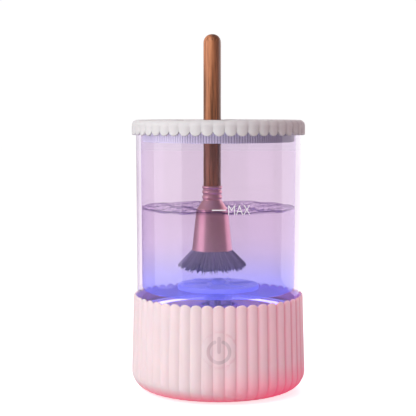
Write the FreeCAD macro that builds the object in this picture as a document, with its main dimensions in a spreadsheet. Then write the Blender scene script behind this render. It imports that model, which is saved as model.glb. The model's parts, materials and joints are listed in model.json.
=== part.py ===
import FreeCAD, Part
import math
import os
import re

import Sketcher

# Rechargeable brush cleaner: a fluted base with the motor, a lift-off clear cup with a spinning
# scrub disc, a fluted soft lid that grips brush handles, and one brush held in the lid.
# Frame: millimetres, +Z up, origin on the ground under the middle, -Y is the front with the
# power button, +Y is the back with the charging socket.

SIZES = {
    # Fluted skin shared by base and lid
    "flute_count": 48,
    "flute_depth": 0.8,
    "flute_fade": 0.3,
    "scallop_over": 0.05,
    "scallop_reach": 4.5,
    # How far a cutting form runs past the face it cuts
    "overrun": 1.0,
    # Base shell
    "base_low": 1.0,
    "base_round": 10.0,
    "base_wide_r": 47.0,
    "base_rim_r": 45.8,
    "base_rim": 52.3,
    "base_scallop": 1.5,
    "mouth_r": 34.0,
    "cover_top": 3.4,
    "room_low_r": 39.4,
    "room_r": 43.0,
    "room_step": 8.5,
    "deck_low": 41.5,
    "deck_top": 44.0,
    "recess_r": 44.3,
    "deck_hole_r": 9.0,
    "collar_r": 10.6,
    "collar_top": 46.4,
    "boss_r": 3.0,
    "boss_rear_x": 28.0,
    "boss_rear_y": 9.0,
    "boss_front_x": 20.0,
    "boss_front_y": -22.0,
    "screw_r": 1.2,
    "screw_hole_r": 1.4,
    "screw_head_r": 2.4,
    "screw_head_play": 0.2,
    "screw_head_lift": 0.2,
    "screw_sink": 1.2,
    "screw_reach": 12.0,
    "pilot_roof": 0.5,
    "pilot_play": 0.1,
    # Light ring in the deck
    "light_count": 12,
    "light_ring_r": 36.5,
    "window_r": 2.3,
    "diffuser_in_r": 33.5,
    "diffuser_out_r": 39.5,
    "diffuser_low": 42.8,
    "board_thick": 1.0,
    "led_board_low": 39.0,
    "led_board_in_r": 33.8,
    "led_board_out_r": 38.7,
    "led_side": 3.0,
    "led_tall": 1.0,
    "stake_r": 1.1,
    "stake_hole_r": 1.15,
    "stake_count": 3,
    "stake_angle": 15.0,
    "stake_low": 38.4,
    "seat_in_r": 40.6,
    "seat_out_r": 43.4,
    "seat_top": 45.2,
    # Motor and its bracket
    "motor_r": 12.1,
    "motor_wall": 0.5,
    "motor_roof": 1.0,
    "motor_low": 10.0,
    "motor_top": 35.0,
    "motor_nose_r": 3.0,
    "motor_nose": 36.8,
    "motor_cap_low": 8.4,
    "motor_tail": 7.0,
    "motor_tail_r": 3.2,
    "bearing_r": 2.4,
    "shaft_r": 1.0,
    "shaft_play": 0.05,
    "motor_shaft_low": 7.3,
    "magnet_in_r": 9.9,
    "magnet_out_r": 11.5,
    "magnet_low": 12.0,
    "magnet_top": 32.0,
    "magnet_span": 140.0,
    "magnet_count": 2,
    "core_r": 9.2,
    "core_low": 14.5,
    "core_top": 30.0,
    "core_slots": 3,
    "core_slot": 1.6,
    "core_slot_root": 4.6,
    "core_slot_angle": 30.0,
    "commutator_r": 2.8,
    "commutator_low": 10.8,
    "contact_width": 2.4,
    "bracket_plate": 1.6,
    "bracket_hole_r": 3.1,
    "bracket_in_r": 13.0,
    "bracket_out_r": 14.5,
    "bracket_flange_r": 20.0,
    "bracket_flange": 1.8,
    "bracket_screw_ring": 17.2,
    "bracket_screws": 3,
    "bracket_screw_angle": 30.0,
    "motor_screw_ring": 8.0,
    "motor_screw_count": 2,
    "small_screw_r": 1.0,
    "small_head_r": 1.9,
    "small_head": 0.9,
    # Coupling under the cup
    "dog_hub_r": 4.0,
    "dog_hub_low": 38.0,
    "dog_plate_r": 7.6,
    "dog_plate_low": 44.6,
    "dog_plate_top": 46.2,
    "dog_lug_in": 3.6,
    "dog_lug_out": 6.8,
    "dog_lug_width": 3.0,
    "dog_lug_top": 49.0,
    "dog_count": 3,
    "driven_lug_low": 46.6,
    "driven_plate_low": 49.4,
    "driven_plate_top": 50.8,
    "driven_lead": 54.0,
    # Battery, boards and charging socket
    "battery_r": 7.0,
    "battery_length": 49.0,
    "battery_nub_r": 2.6,
    "battery_nub": 1.2,
    "battery_y": 20.0,
    "battery_axis": 14.6,
    "cradle_length": 44.0,
    "cradle_width": 12.8,
    "cradle_top": 11.0,
    "cradle_play": 0.05,
    "charge_low": 24.0,
    "charge_thick": 1.6,
    "charge_half": 11.0,
    "charge_front": 27.4,
    "charge_back": 40.5,
    "post_r": 2.2,
    "post_x": 7.0,
    "post_y": 30.2,
    "post_screw": 6.0,
    "port_width": 8.94,
    "port_tall": 3.26,
    "port_wall": 0.35,
    "port_front": 37.0,
    "port_back": 44.3,
    "port_hole_front": 42.7,
    "port_play": 0.2,
    "port_tongue": 0.7,
    "port_tongue_half": 2.98,
    "control_half": 13.5,
    "control_front": -37.9,
    "control_thick": 1.6,
    "control_low": 9.0,
    "control_top": 36.0,
    "driver_half": 4.0,
    "driver_tall": 1.4,
    "driver_low": 24.0,
    "driver_top": 32.0,
    "coil_near": 5.0,
    "coil_far": 10.0,
    "coil_tall": 3.0,
    "coil_low": 16.0,
    "coil_top": 21.0,
    "rail_width": 4.0,
    "rail_grip": 1.0,
    "rail_front": -41.6,
    "rail_back": -34.8,
    "rail_play": 0.1,
    "rail_clear": 0.4,
    "lead_r": 0.6,
    "lead_bend": 1.5,
    "motor_lead_x": 5.0,
    "motor_lead_lift": 2.0,
    "motor_lead_turn": -30.0,
    "motor_lead_slant": 1.0,
    "motor_lead_rise": 8.0,
    "cell_lead_up": 4.0,
    "cell_lead_out": 2.6,
    "cell_lead_over": 1.2,
    "cell_lead_sag": 0.4,
    "cell_lead_x": 9.6,
    "cell_lead_y": 36.0,
    # Power button
    "button_z": 29.6,
    "button_r": 9.0,
    "button_gap": 0.25,
    "button_hole_back": -41.0,
    "button_flange_r": 10.0,
    "button_flange_front": -41.5,
    "button_flange_back": -40.5,
    "button_pocket_r": 7.6,
    "button_pocket_front": -45.0,
    "stem_r": 2.0,
    "stem_root": 0.5,
    "stem_back": -42.9,
    "switch_side": 6.0,
    "switch_depth": 3.4,
    "plunger_r": 1.6,
    "plunger_play": 0.1,
    "plunger_back": -40.6,
    "switch_well": 2.2,
    "icon_r": 6.3,
    "icon_line": 1.7,
    "icon_gap": 4.2,
    "icon_bar": 8.0,
    "icon_proud": 0.12,
    "icon_back": -44.8,
    # Bottom cover and feet
    "cover_play": 0.2,
    "foot_r": 4.5,
    "foot_play": 0.1,
    "foot_ring_r": 27.5,
    "foot_count": 4,
    "foot_sink": 0.8,
    # Cup
    "cup_low_r": 43.8,
    "cup_top_r": 44.2,
    "cup_wall": 2.6,
    "cup_top": 142.6,
    "cup_skirt_r": 41.0,
    "cup_under": 51.0,
    "cup_floor": 54.0,
    "cup_lip_round": 0.9,
    "cup_floor_round": 2.5,
    "neck_r": 5.5,
    "neck_top": 55.6,
    "bush_r": 3.6,
    "bush_top": 54.2,
    # Scrub disc
    "spindle_r": 1.5,
    "spindle_top": 59.0,
    "disc_r": 22.0,
    "disc_low": 54.8,
    "disc_ceiling": 56.0,
    "disc_top": 57.4,
    "disc_edge": 0.8,
    "disc_well_r": 6.4,
    "ridge_count": 6,
    "ridge_start": 6.0,
    "ridge_end": 19.5,
    "ridge_width": 2.2,
    "ridge_top": 58.4,
    "nut_r": 3.4,
    "nut_shoulder": 59.4,
    "nut_top": 60.2,
    "nut_crown_r": 2.2,
    # Lid
    "lid_r": 46.5,
    "lid_low": 138.0,
    "lid_shoulder": 143.0,
    "lid_top": 146.0,
    "lid_scallop": 1.85,
    "lid_skirt_r": 44.75,
    "lid_dish": 0.7,
    "lid_dish_r": 41.0,
    "plug_r": 40.9,
    "plug_in_r": 38.0,
    "plug_low": 134.3,
    "plug_ribs": 90,
    "plug_rib_depth": 0.4,
    "grip_r": 4.75,
    "grip_collar": 1.4,
    "grip_ring_r": 8.5,
    "grip_angle": -113.0,
    "grip_count": 3,
    "outer_count": 3,
    "outer_ring_r": 26.0,
    "wide_hole_r": 6.2,
    "wide_angle": 67.0,
    "slim_hole_r": 3.4,
    "slim_angle": 7.0,
    # Brush
    "handle_r": 4.65,
    "handle_low": 103.5,
    "handle_top": 191.2,
    "handle_dome": 4.2,
    "ferrule_wall": 0.5,
    "ferrule_top": 111.0,
    "ferrule_neck": 104.5,
    "ferrule_bend": 100.6,
    "ferrule_bend_r": 6.7,
    "ferrule_cone": 96.8,
    "ferrule_cone_r": 8.6,
    "ferrule_low": 76.0,
    "ferrule_mouth_r": 10.8,
    "tuft_root": 84.0,
    "tuft_root_r": 8.8,
    "tuft_r": 18.2,
    "tuft_side": 67.8,
    "tuft_edge": 66.4,
    "tuft_edge_r": 17.0,
    "tuft_belly": 64.4,
    "tuft_low": 63.6,
    "tuft_play": 0.1,
}

NEAR = 1e-4

doc = FreeCAD.newDocument("BrushCleaner")
sheet = doc.addObject("Spreadsheet::Sheet", "Size")
for row, (alias, number) in enumerate(SIZES.items(), start=1):
    sheet.set(f"A{row}", alias)
    sheet.set(f"B{row}", str(number))
    sheet.setAlias(f"B{row}", alias)
doc.recompute()

WORD = re.compile(r"\b(" + "|".join(sorted(SIZES, key=len, reverse=True)) + r")\b")
PARTS = []


# Helpers: expressions ------------------------------------------------------------------------

def link(expression):
    """The expression with every alias pointed at the sheet."""
    return WORD.sub(r"Size.\1", str(expression))


def value(expression):
    """The number that an expression over the sheet gives now."""
    return float(sheet.evalExpression(link(expression)))


def bind(item, field, expression):
    item.setExpression(field, link(expression))


def point(x, y, z):
    return FreeCAD.Vector(value(x), value(y), value(z))


def keep(item, label):
    """Names an object as one sub-part of the assembly."""
    item.Label = label
    PARTS.append(item)
    return item


# Helpers: PartDesign bodies ------------------------------------------------------------------

def plane_of(body, role):
    return next(item for item in body.Origin.OriginFeatures if item.Role == role)


def sketch_on(body, role, level="0"):
    sketch = body.newObject("Sketcher::SketchObject", body.Name + "_sketch")
    sketch.AttachmentSupport = [(plane_of(body, role), "")]
    sketch.MapMode = "FlatFace"
    bind(sketch, "AttachmentOffset.Base.z", level)
    return sketch


def draw_outline(sketch, corners):
    """A closed outline of straight lines, each corner held at its two sheet expressions."""
    spots = [FreeCAD.Vector(value(x), value(y), 0) for x, y in corners]
    count = len(spots)
    for i in range(count):
        sketch.addGeometry(Part.LineSegment(spots[i], spots[(i + 1) % count]))
    for i in range(count):
        sketch.addConstraint(Sketcher.Constraint("Coincident", i, 2, (i + 1) % count, 1))
    for i, (x, y) in enumerate(corners):
        hold(sketch, "DistanceX", i, 1, x)
        hold(sketch, "DistanceY", i, 1, y)


def hold(sketch, kind, item, end, expression):
    """Fixes one coordinate of a sketch point from the origin, bound to the sheet."""
    number = value(expression)
    if abs(number) < NEAR:
        axis = -2 if kind == "DistanceX" else -1
        sketch.addConstraint(Sketcher.Constraint("PointOnObject", item, end, axis))
        return
    index = sketch.addConstraint(Sketcher.Constraint(kind, -1, 1, item, end, number))
    bind(sketch, f"Constraints[{index}]", expression)


def draw_circle(sketch, radius, x="0", y="0"):
    centre = FreeCAD.Vector(value(x), value(y), 0)
    item = sketch.addGeometry(Part.Circle(centre, FreeCAD.Vector(0, 0, 1), value(radius)))
    hold(sketch, "DistanceX", item, 3, x)
    hold(sketch, "DistanceY", item, 3, y)
    index = sketch.addConstraint(Sketcher.Constraint("Radius", item, value(radius)))
    bind(sketch, f"Constraints[{index}]", radius)


def turned(name, corners, span="360"):
    """A body revolved about Z from (radius, height) corners."""
    body = doc.addObject("PartDesign::Body", name)
    sketch = sketch_on(body, "XZ_Plane")
    draw_outline(sketch, corners)
    revolution = body.newObject("PartDesign::Revolution", name + "_turn")
    revolution.Profile = (sketch, [""])
    revolution.ReferenceAxis = (sketch, ["V_Axis"])
    bind(revolution, "Angle", span)
    return body


def ring(name, inner, outer, low, high):
    return turned(name, [(inner, low), (outer, low), (outer, high), (inner, high)])


def pad(body, sketch, length):
    feature = body.newObject("PartDesign::Pad", body.Name + "_pad")
    feature.Profile = (sketch, [""])
    bind(feature, "Length", length)
    return feature


def bore(body, sketch):
    """Cuts the sketch through the whole body, both ways, and checks that it took material."""
    doc.recompute()
    before = body.Shape.Volume
    feature = body.newObject("PartDesign::Pocket", body.Name + "_bore")
    feature.Profile = (sketch, [""])
    feature.Type = "ThroughAll"
    feature.Midplane = True
    doc.recompute()
    if body.Shape.Volume > before - NEAR:
        raise RuntimeError(body.Name + ": a bore cuts nothing")
    return feature


def around(body, feature, count):
    """Repeats a feature evenly about the body's Z axis."""
    pattern = body.newObject("PartDesign::PolarPattern", body.Name + "_pattern")
    pattern.Originals = [feature]
    pattern.Axis = (plane_of(body, "Z_Axis"), [""])
    pattern.Angle = 360
    bind(pattern, "Occurrences", count)
    body.Tip = pattern
    return pattern


def round_edges(body, radius, spots):
    """Fillets the circular edges at the given (radius, height) places."""
    doc.recompute()
    names = []
    for index, edge in enumerate(body.Shape.Edges, start=1):
        curve = edge.Curve
        if not isinstance(curve, Part.Circle):
            continue
        for r, z in spots:
            same = abs(curve.Radius - value(r)) < NEAR and abs(curve.Center.z - value(z)) < NEAR
            if same:
                names.append(f"Edge{index}")
    last = body.Tip
    fillet = body.newObject("PartDesign::Fillet", body.Name + "_round")
    fillet.Base = (last, names)
    bind(fillet, "Radius", radius)
    body.Tip = fillet
    return fillet


# Helpers: Part primitives --------------------------------------------------------------------

def place(item, x, y, z, rotation=None):
    item.Placement = FreeCAD.Placement(point(x, y, z), rotation or FreeCAD.Rotation())
    bind(item, "Placement.Base.x", x)
    bind(item, "Placement.Base.y", y)
    bind(item, "Placement.Base.z", z)


def rod(name, radius, low, high, x="0", y="0"):
    """An upright cylinder from one height to another."""
    item = doc.addObject("Part::Cylinder", name)
    bind(item, "Radius", radius)
    bind(item, "Height", f"({high}) - ({low})")
    place(item, x, y, low)
    return item


def level_rod(name, radius, front, back, z, x="0"):
    """A cylinder that lies along Y."""
    item = doc.addObject("Part::Cylinder", name)
    bind(item, "Radius", radius)
    bind(item, "Height", f"({back}) - ({front})")
    place(item, x, front, z, FreeCAD.Rotation(FreeCAD.Vector(1, 0, 0), -90))
    return item


def cross_rod(name, radius, left, right, y, z):
    """A cylinder that lies along X."""
    item = doc.addObject("Part::Cylinder", name)
    bind(item, "Radius", radius)
    bind(item, "Height", f"({right}) - ({left})")
    place(item, left, y, z, FreeCAD.Rotation(FreeCAD.Vector(0, 1, 0), 90))
    return item


def block(name, x, y, z):
    """A box between pairs of bounds along X, Y and Z."""
    item = doc.addObject("Part::Box", name)
    bind(item, "Length", f"({x[1]}) - ({x[0]})")
    bind(item, "Width", f"({y[1]}) - ({y[0]})")
    bind(item, "Height", f"({z[1]}) - ({z[0]})")
    place(item, x[0], y[0], z[0])
    return item


def fused(name, items):
    item = doc.addObject("Part::MultiFuse", name)
    item.Shapes = items
    item.Refine = True
    return item


def cut(name, base, tools):
    item = doc.addObject("Part::Cut", name)
    item.Base = base
    item.Tool = tools[0] if len(tools) == 1 else fused(name + "_tools", tools)
    return item


def common(name, items):
    item = doc.addObject("Part::MultiCommon", name)
    item.Shapes = items
    return item


def grouped(name, items):
    """Several identical pieces, each a solid of its own, as one sub-part."""
    item = doc.addObject("Part::Compound", name)
    item.Links = items
    return item


def feature(name, shape):
    item = doc.addObject("Part::Feature", name)
    item.Shape = shape
    return item


def spin(shape, degrees):
    """A copy of a shape turned about the Z axis."""
    copy = shape.copy()
    copy.rotate(FreeCAD.Vector(0, 0, 0), FreeCAD.Vector(0, 0, 1), degrees)
    return copy


def polar_x(radius, angle):
    return f"{radius} * cos(({angle}) * 1 deg)"


def polar_y(radius, angle):
    return f"{radius} * sin(({angle}) * 1 deg)"


# Helpers: fluted skins -----------------------------------------------------------------------

def fluted_wire(radius, depth, height, count):
    """A closed ring of outward lobes, with one lobe's crest at the front, on -Y."""
    step = 2 * math.pi / count

    def spot(r, angle):
        return FreeCAD.Vector(r * math.cos(angle), r * math.sin(angle), height)

    arcs = []
    for i in range(count):
        start = (i - 0.5) * step - math.pi / 2
        ends = [spot(radius - depth, start), spot(radius, start + step / 2)]
        arcs.append(Part.Arc(ends[0], ends[1], spot(radius - depth, start + step)).toShape())
    return Part.Wire(arcs)


def fluted_solid(sections):
    """A solid through fluted rings given as (radius, depth, height)."""
    count = int(value("flute_count"))
    wires = [fluted_wire(radius, depth, height, count) for radius, depth, height in sections]
    return Part.makeLoft(wires, True, True)


def rounded_sections(radius, corner, height, turn, steps=5):
    """Sections round a quarter-circle edge, away from height; turn is +1 up or -1 down."""
    depth, fade = value("flute_depth"), value("flute_fade")
    rows = []
    for i in range(steps + 1):
        angle = 0.5 * math.pi * i / steps
        inset = corner * (1 - math.cos(angle))
        rise = turn * corner * math.sin(angle)
        rows.append((radius - inset, depth + (fade - depth) * i / steps, height + rise))
    return rows


def scallop_cutters(radius, tip, height, turn):
    """Wedges between neighbouring lobes, whose arcs leave a scalloped edge at tip."""
    count = int(value("flute_count"))
    half = math.pi * radius / count
    over = value("scallop_over")
    drop = height + over
    arc_r = (half * half + drop * drop) / (2 * drop)
    reach = value("scallop_reach")

    def spot(u, rise):
        return FreeCAD.Vector(radius - reach, u, tip + turn * rise)

    def edge_at(u):
        return over - arc_r + math.sqrt(arc_r ** 2 - (half - abs(u)) ** 2)

    left, middle, right = spot(-half, over), spot(0, -height), spot(half, over)
    outline = [Part.Arc(left, spot(-half / 2, edge_at(half / 2)), middle).toShape(),
               Part.Arc(middle, spot(half / 2, edge_at(half / 2)), right).toShape(),
               Part.LineSegment(right, spot(half, height)).toShape(),
               Part.LineSegment(spot(half, height), spot(-half, height)).toShape(),
               Part.LineSegment(spot(-half, height), left).toShape()]
    wedge = Part.Face(Part.Wire(outline)).extrude(FreeCAD.Vector(2 * reach, 0, 0))
    return [spin(wedge, (i + 0.5) * 360 / count - 90) for i in range(count)]


# Helpers: fasteners and leads ----------------------------------------------------------------

def screws(name, spots, head_r, shank_r, head, neck, tip):
    """Screws whose heads lie between head and neck, and whose shanks run on to tip."""
    items = []
    for index, (x, y) in enumerate(spots):
        parts = []
        for role, radius, ends in (("head", head_r, (head, neck)), ("shank", shank_r, (neck, tip))):
            low, high = sorted(ends, key=value)
            parts.append(rod(f"{name}_{role}{index}", radius, low, high, x, y))
        items.append(fused(f"{name}_{index}", parts))
    return keep(grouped(name, items), name)


def ring_spots(radius, count, first="0"):
    total = int(value(count))
    angles = [value(first) + 360 * i / total for i in range(total)]
    return [(polar_x(radius, angle), polar_y(radius, angle)) for angle in angles]


def lead(points):
    """A round wire along straight runs joined by tangent arcs."""
    bend = value("lead_bend")
    edges = []
    start = points[0]
    for before, corner, after in zip(points, points[1:], points[2:]):
        back = (before - corner).normalize()
        ahead = (after - corner).normalize()
        half = 0.5 * back.getAngle(ahead)
        reach = bend / math.tan(half)
        first = corner + back * reach
        last = corner + ahead * reach
        middle = corner + (back + ahead).normalize() * (bend / math.sin(half) - bend)
        edges.append(Part.LineSegment(start, first).toShape())
        edges.append(Part.Arc(first, middle, last).toShape())
        start = last
    edges.append(Part.LineSegment(start, points[-1]).toShape())
    heading = points[1] - points[0]
    rim = Part.Wire(Part.makeCircle(value("lead_r"), points[0], heading))
    return Part.Wire(edges).makePipeShell([rim], True, False)


# Base ----------------------------------------------------------------------------------------

BOSSES = [("boss_rear_x", "boss_rear_y"), ("-boss_rear_x", "boss_rear_y"),
          ("boss_front_x", "boss_front_y"), ("-boss_front_x", "boss_front_y")]
POSTS = [("post_x", "post_y"), ("-post_x", "post_y")]
STAKES = ring_spots("light_ring_r", "stake_count", "stake_angle")


def make_base_skin():
    """The outer form of the base, solid, with a scalloped rim."""
    rim = (value("base_rim_r"), value("flute_depth"), value("base_rim"))
    corner = value("base_round")
    bottom = rounded_sections(value("base_wide_r"), corner, value("base_low") + corner, -1)
    skin = fluted_solid([rim] + bottom)
    cutters = scallop_cutters(value("base_rim_r"), value("base_rim"), value("base_scallop"), 1)
    return skin.cut(cutters)


def make_base_shell():
    skin = feature("base_skin", make_base_skin())
    room = turned("base_room", [("0", "base_low - overrun"), ("mouth_r", "base_low - overrun"),
                                ("mouth_r", "cover_top"), ("room_low_r", "cover_top"),
                                ("room_r", "room_step"), ("room_r", "deck_low"), ("0", "deck_low")])
    recess = rod("base_recess", "recess_r", "deck_top", "base_rim + overrun")
    hollow = cut("base_hollow", skin, [room, recess])
    collar = rod("base_collar", "collar_r", "deck_low", "collar_top")
    added = [collar]
    drills = [rod("base_deck_hole", "deck_hole_r", "deck_low - overrun", "collar_top + overrun")]
    for i, (x, y) in enumerate(BOSSES):
        added.append(rod(f"base_boss{i}", "boss_r", "cover_top", "deck_low", x, y))
        drills.append(rod(f"base_pilot{i}", "screw_r", "cover_top", "screw_reach", x, y))
    for i, (x, y) in enumerate(STAKES):
        added.append(rod(f"base_stake{i}", "stake_r", "stake_low", "deck_low", x, y))
    for i, side in enumerate((1, -1)):
        inner = f"{side} * (control_half - rail_grip)"
        outer = f"{side} * (control_half - rail_grip + rail_width)"
        left, right = sorted((inner, outer), key=value)
        added.append(block(f"base_rail{i}", (left, right), ("rail_front", "rail_back"),
                           ("room_step", "led_board_low - rail_clear")))
    drills.append(block("base_rail_slot", ("-control_half - rail_play", "control_half + rail_play"),
                        ("control_front - rail_play", "control_front + control_thick + rail_play"),
                        ("room_step", "control_top + rail_play")))
    for i, (x, y) in enumerate(ring_spots("light_ring_r", "light_count")):
        drills.append(rod(f"base_window{i}", "window_r", "deck_low - overrun", "deck_top + overrun",
                          x, y))
    pilots = ring_spots("bracket_screw_ring", "bracket_screws", "bracket_screw_angle")
    for i, (x, y) in enumerate(pilots):
        drills.append(rod(f"base_deck_pilot{i}", "small_screw_r", "deck_low", "deck_top - pilot_roof",
                          x, y))
    drills.append(ring("base_groove", "diffuser_in_r", "diffuser_out_r", "diffuser_low",
                       "deck_top + overrun"))
    drills.append(level_rod("base_button_hole", "button_r + button_gap", "-base_wide_r - overrun",
                            "button_hole_back", "button_z"))
    drills.append(port_tool())
    return keep(cut("base_shell", fused("base_solid", [hollow] + added), drills), "base_shell")


def port_tool():
    """The slot with round ends through the back wall for the charging plug."""
    return port_form("base_port", "port_tall / 2 + port_play", "port_hole_front",
                     "base_wide_r + overrun")


def port_form(name, radius, front, back):
    """A stadium bar along Y, on the charging socket's axis."""
    centre = "charge_low + charge_thick + port_tall / 2"
    reach = "(port_width - port_tall) / 2"
    ends = [level_rod(f"{name}_end{side}", radius, front, back, centre, f"{side} * {reach}")
            for side in (1, -1)]
    middle = block(name + "_middle", (f"-{reach}", reach), (front, back),
                   (f"{centre} - ({radius})", f"{centre} + ({radius})"))
    return fused(name, ends + [middle])


def make_deck_parts():
    keep(ring("light_diffuser", "diffuser_in_r", "diffuser_out_r", "diffuser_low", "deck_top"),
         "light_diffuser")
    keep(ring("seat_ring", "seat_in_r", "seat_out_r", "deck_top", "seat_top"), "seat_ring")
    board = doc.addObject("PartDesign::Body", "led_board")
    outline = sketch_on(board, "XY_Plane", "led_board_low")
    draw_circle(outline, "led_board_out_r")
    draw_circle(outline, "led_board_in_r")
    pad(board, outline, "board_thick")
    hole = sketch_on(board, "XY_Plane", "led_board_low")
    draw_circle(hole, "stake_hole_r", *STAKES[0])
    around(board, bore(board, hole), "stake_count")
    keep(board, "led_board")
    lights = doc.addObject("PartDesign::Body", "leds")
    outline = sketch_on(lights, "XY_Plane", "led_board_low + board_thick")
    near, far = "light_ring_r - led_side / 2", "light_ring_r + led_side / 2"
    draw_outline(outline, [(near, "-led_side / 2"), (far, "-led_side / 2"),
                           (far, "led_side / 2"), (near, "led_side / 2")])
    around(lights, pad(lights, outline, "led_tall"), "light_count")
    keep(lights, "leds")


# Motor ---------------------------------------------------------------------------------------

def make_motor():
    inner = "motor_r - motor_wall"
    roof = "motor_top - motor_roof"
    keep(turned("motor_can", [(inner, "motor_low"), ("motor_r", "motor_low"), ("motor_r", "motor_top"),
                              ("motor_nose_r", "motor_top"), ("motor_nose_r", "motor_nose"),
                              ("bearing_r", "motor_nose"), ("bearing_r", roof), (inner, roof)]),
         "motor_can")
    can = doc.getObject("motor_can")
    hole = sketch_on(can, "XY_Plane", "motor_top")
    draw_circle(hole, "small_screw_r", "motor_screw_ring")
    around(can, bore(can, hole), "motor_screw_count")
    keep(turned("motor_end_cap", [("bearing_r", "motor_tail"), ("motor_tail_r", "motor_tail"),
                                  ("motor_tail_r", "motor_cap_low"),
                                  ("motor_r", "motor_cap_low"), ("motor_r", "motor_low"),
                                  ("bearing_r", "motor_low")]), "motor_end_cap")
    bore_r = "shaft_r + shaft_play"
    bearings = [ring("bearing_upper", bore_r, "bearing_r", roof, "motor_nose"),
                ring("bearing_lower", bore_r, "bearing_r", "motor_tail", "motor_low")]
    keep(grouped("motor_bearings", bearings), "motor_bearings")
    magnets = turned("motor_magnets", [("magnet_in_r", "magnet_low"), ("magnet_out_r", "magnet_low"),
                                       ("magnet_out_r", "magnet_top"), ("magnet_in_r", "magnet_top")],
                     "magnet_span")
    around(magnets, magnets.Tip, "magnet_count")
    keep(magnets, "motor_magnets")
    contacts = []
    for i, side in enumerate((1, -1)):
        ends = (f"{side} * (commutator_r + shaft_play)", f"{side} * (commutator_r + contact_width)")
        left, right = sorted(ends, key=value)
        contacts.append(block(f"contact{i}", (left, right), ("-contact_width / 2", "contact_width / 2"),
                              ("motor_low", "commutator_low + contact_width")))
    keep(grouped("motor_contacts", contacts), "motor_contacts")


def make_rotor():
    keep(rod("motor_shaft", "shaft_r", "motor_shaft_low", "dog_plate_top"), "motor_shaft")
    core = ring("armature_core", "shaft_r", "core_r", "core_low", "core_top")
    slots = []
    for i in range(int(value("core_slots"))):
        slot = block(f"core_slot{i}", ("core_slot_root", "core_r + overrun"),
                     ("-core_slot / 2", "core_slot / 2"), ("core_low - overrun", "core_top + overrun"))
        angle = value("core_slot_angle") + 360 * i / value("core_slots")
        slots.append(feature(f"core_gap{i}", spin(bare(slot), angle)))
    keep(cut("motor_armature", core, slots), "motor_armature")
    keep(ring("commutator", "shaft_r", "commutator_r", "commutator_low", "core_low"), "commutator")


def bare(item):
    """An object's shape after its expressions have been worked out."""
    doc.recompute()
    return item.Shape


def make_motor_mounting():
    body = turned("motor_bracket", [("bracket_hole_r", "motor_top"), ("bracket_out_r", "motor_top"),
                                    ("bracket_out_r", "deck_low - bracket_flange"),
                                    ("bracket_flange_r", "deck_low - bracket_flange"),
                                    ("bracket_flange_r", "deck_low"), ("bracket_in_r", "deck_low"),
                                    ("bracket_in_r", "motor_top + bracket_plate"),
                                    ("bracket_hole_r", "motor_top + bracket_plate")])
    face_hole = sketch_on(body, "XY_Plane", "motor_top")
    draw_circle(face_hole, "small_screw_r + shaft_play", "motor_screw_ring")
    around(body, bore(body, face_hole), "motor_screw_count")
    rim_hole = sketch_on(body, "XY_Plane", "deck_low")
    spots = ring_spots("bracket_screw_ring", "bracket_screws", "bracket_screw_angle")
    draw_circle(rim_hole, "small_screw_r + shaft_play", *spots[0])
    around(body, bore(body, rim_hole), "bracket_screws")
    keep(body, "motor_bracket")
    screws("bracket_screws", spots, "small_head_r", "small_screw_r",
           "deck_low - bracket_flange - small_head", "deck_low - bracket_flange",
           "deck_top - pilot_roof - pilot_play")
    face_spots = ring_spots("motor_screw_ring", "motor_screw_count")
    plate_top = "motor_top + bracket_plate"
    screws("motor_screws", face_spots, "small_head_r", "small_screw_r",
           plate_top + " + small_head", plate_top, "motor_top - motor_roof")


def lugs(name, low, high, lead_angle):
    """Driving teeth of the coupling, standing up or hanging down."""
    items = []
    tooth = block(name + "_tooth", ("dog_lug_in", "dog_lug_out"),
                  ("-dog_lug_width / 2", "dog_lug_width / 2"), (low, high))
    count = int(value("dog_count"))
    for i in range(count):
        turn = value(lead_angle) + 360 * i / count
        items.append(feature(f"{name}{i}", spin(bare(tooth), turn)))
    return items


def make_coupling():
    hub = turned("drive_hub", [("shaft_r", "dog_hub_low"), ("dog_hub_r", "dog_hub_low"),
                               ("dog_hub_r", "dog_plate_low"), ("dog_plate_r", "dog_plate_low"),
                               ("dog_plate_r", "dog_plate_top"), ("shaft_r", "dog_plate_top")])
    keep(fused("drive_dog", [hub] + lugs("drive_lug", "dog_plate_top", "dog_lug_top", "0")), "drive_dog")
    plate = ring("driven_plate", "spindle_r", "dog_plate_r", "driven_plate_low", "driven_plate_top")
    teeth = lugs("driven_lug", "driven_lug_low", "driven_plate_low", "driven_lead")
    keep(fused("driven_dog", [plate] + teeth), "driven_dog")


# Battery, boards, socket ---------------------------------------------------------------------

def make_battery():
    left, right = "-battery_length / 2", "battery_length / 2"
    cell = cross_rod("battery_body", "battery_r", left, right, "battery_y", "battery_axis")
    nub = cross_rod("battery_tip", "battery_nub_r", right, right + " + battery_nub", "battery_y",
                    "battery_axis")
    keep(fused("battery_cell", [cell, nub]), "battery_cell")
    bed = block("cradle_bed", ("-cradle_length / 2", "cradle_length / 2"),
                ("battery_y - cradle_width / 2", "battery_y + cradle_width / 2"),
                ("cover_top", "cradle_top"))
    trough = cross_rod("cradle_trough", "battery_r + cradle_play", left, right, "battery_y",
                       "battery_axis")
    keep(cut("battery_cradle", bed, [trough]), "battery_cradle")


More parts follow.
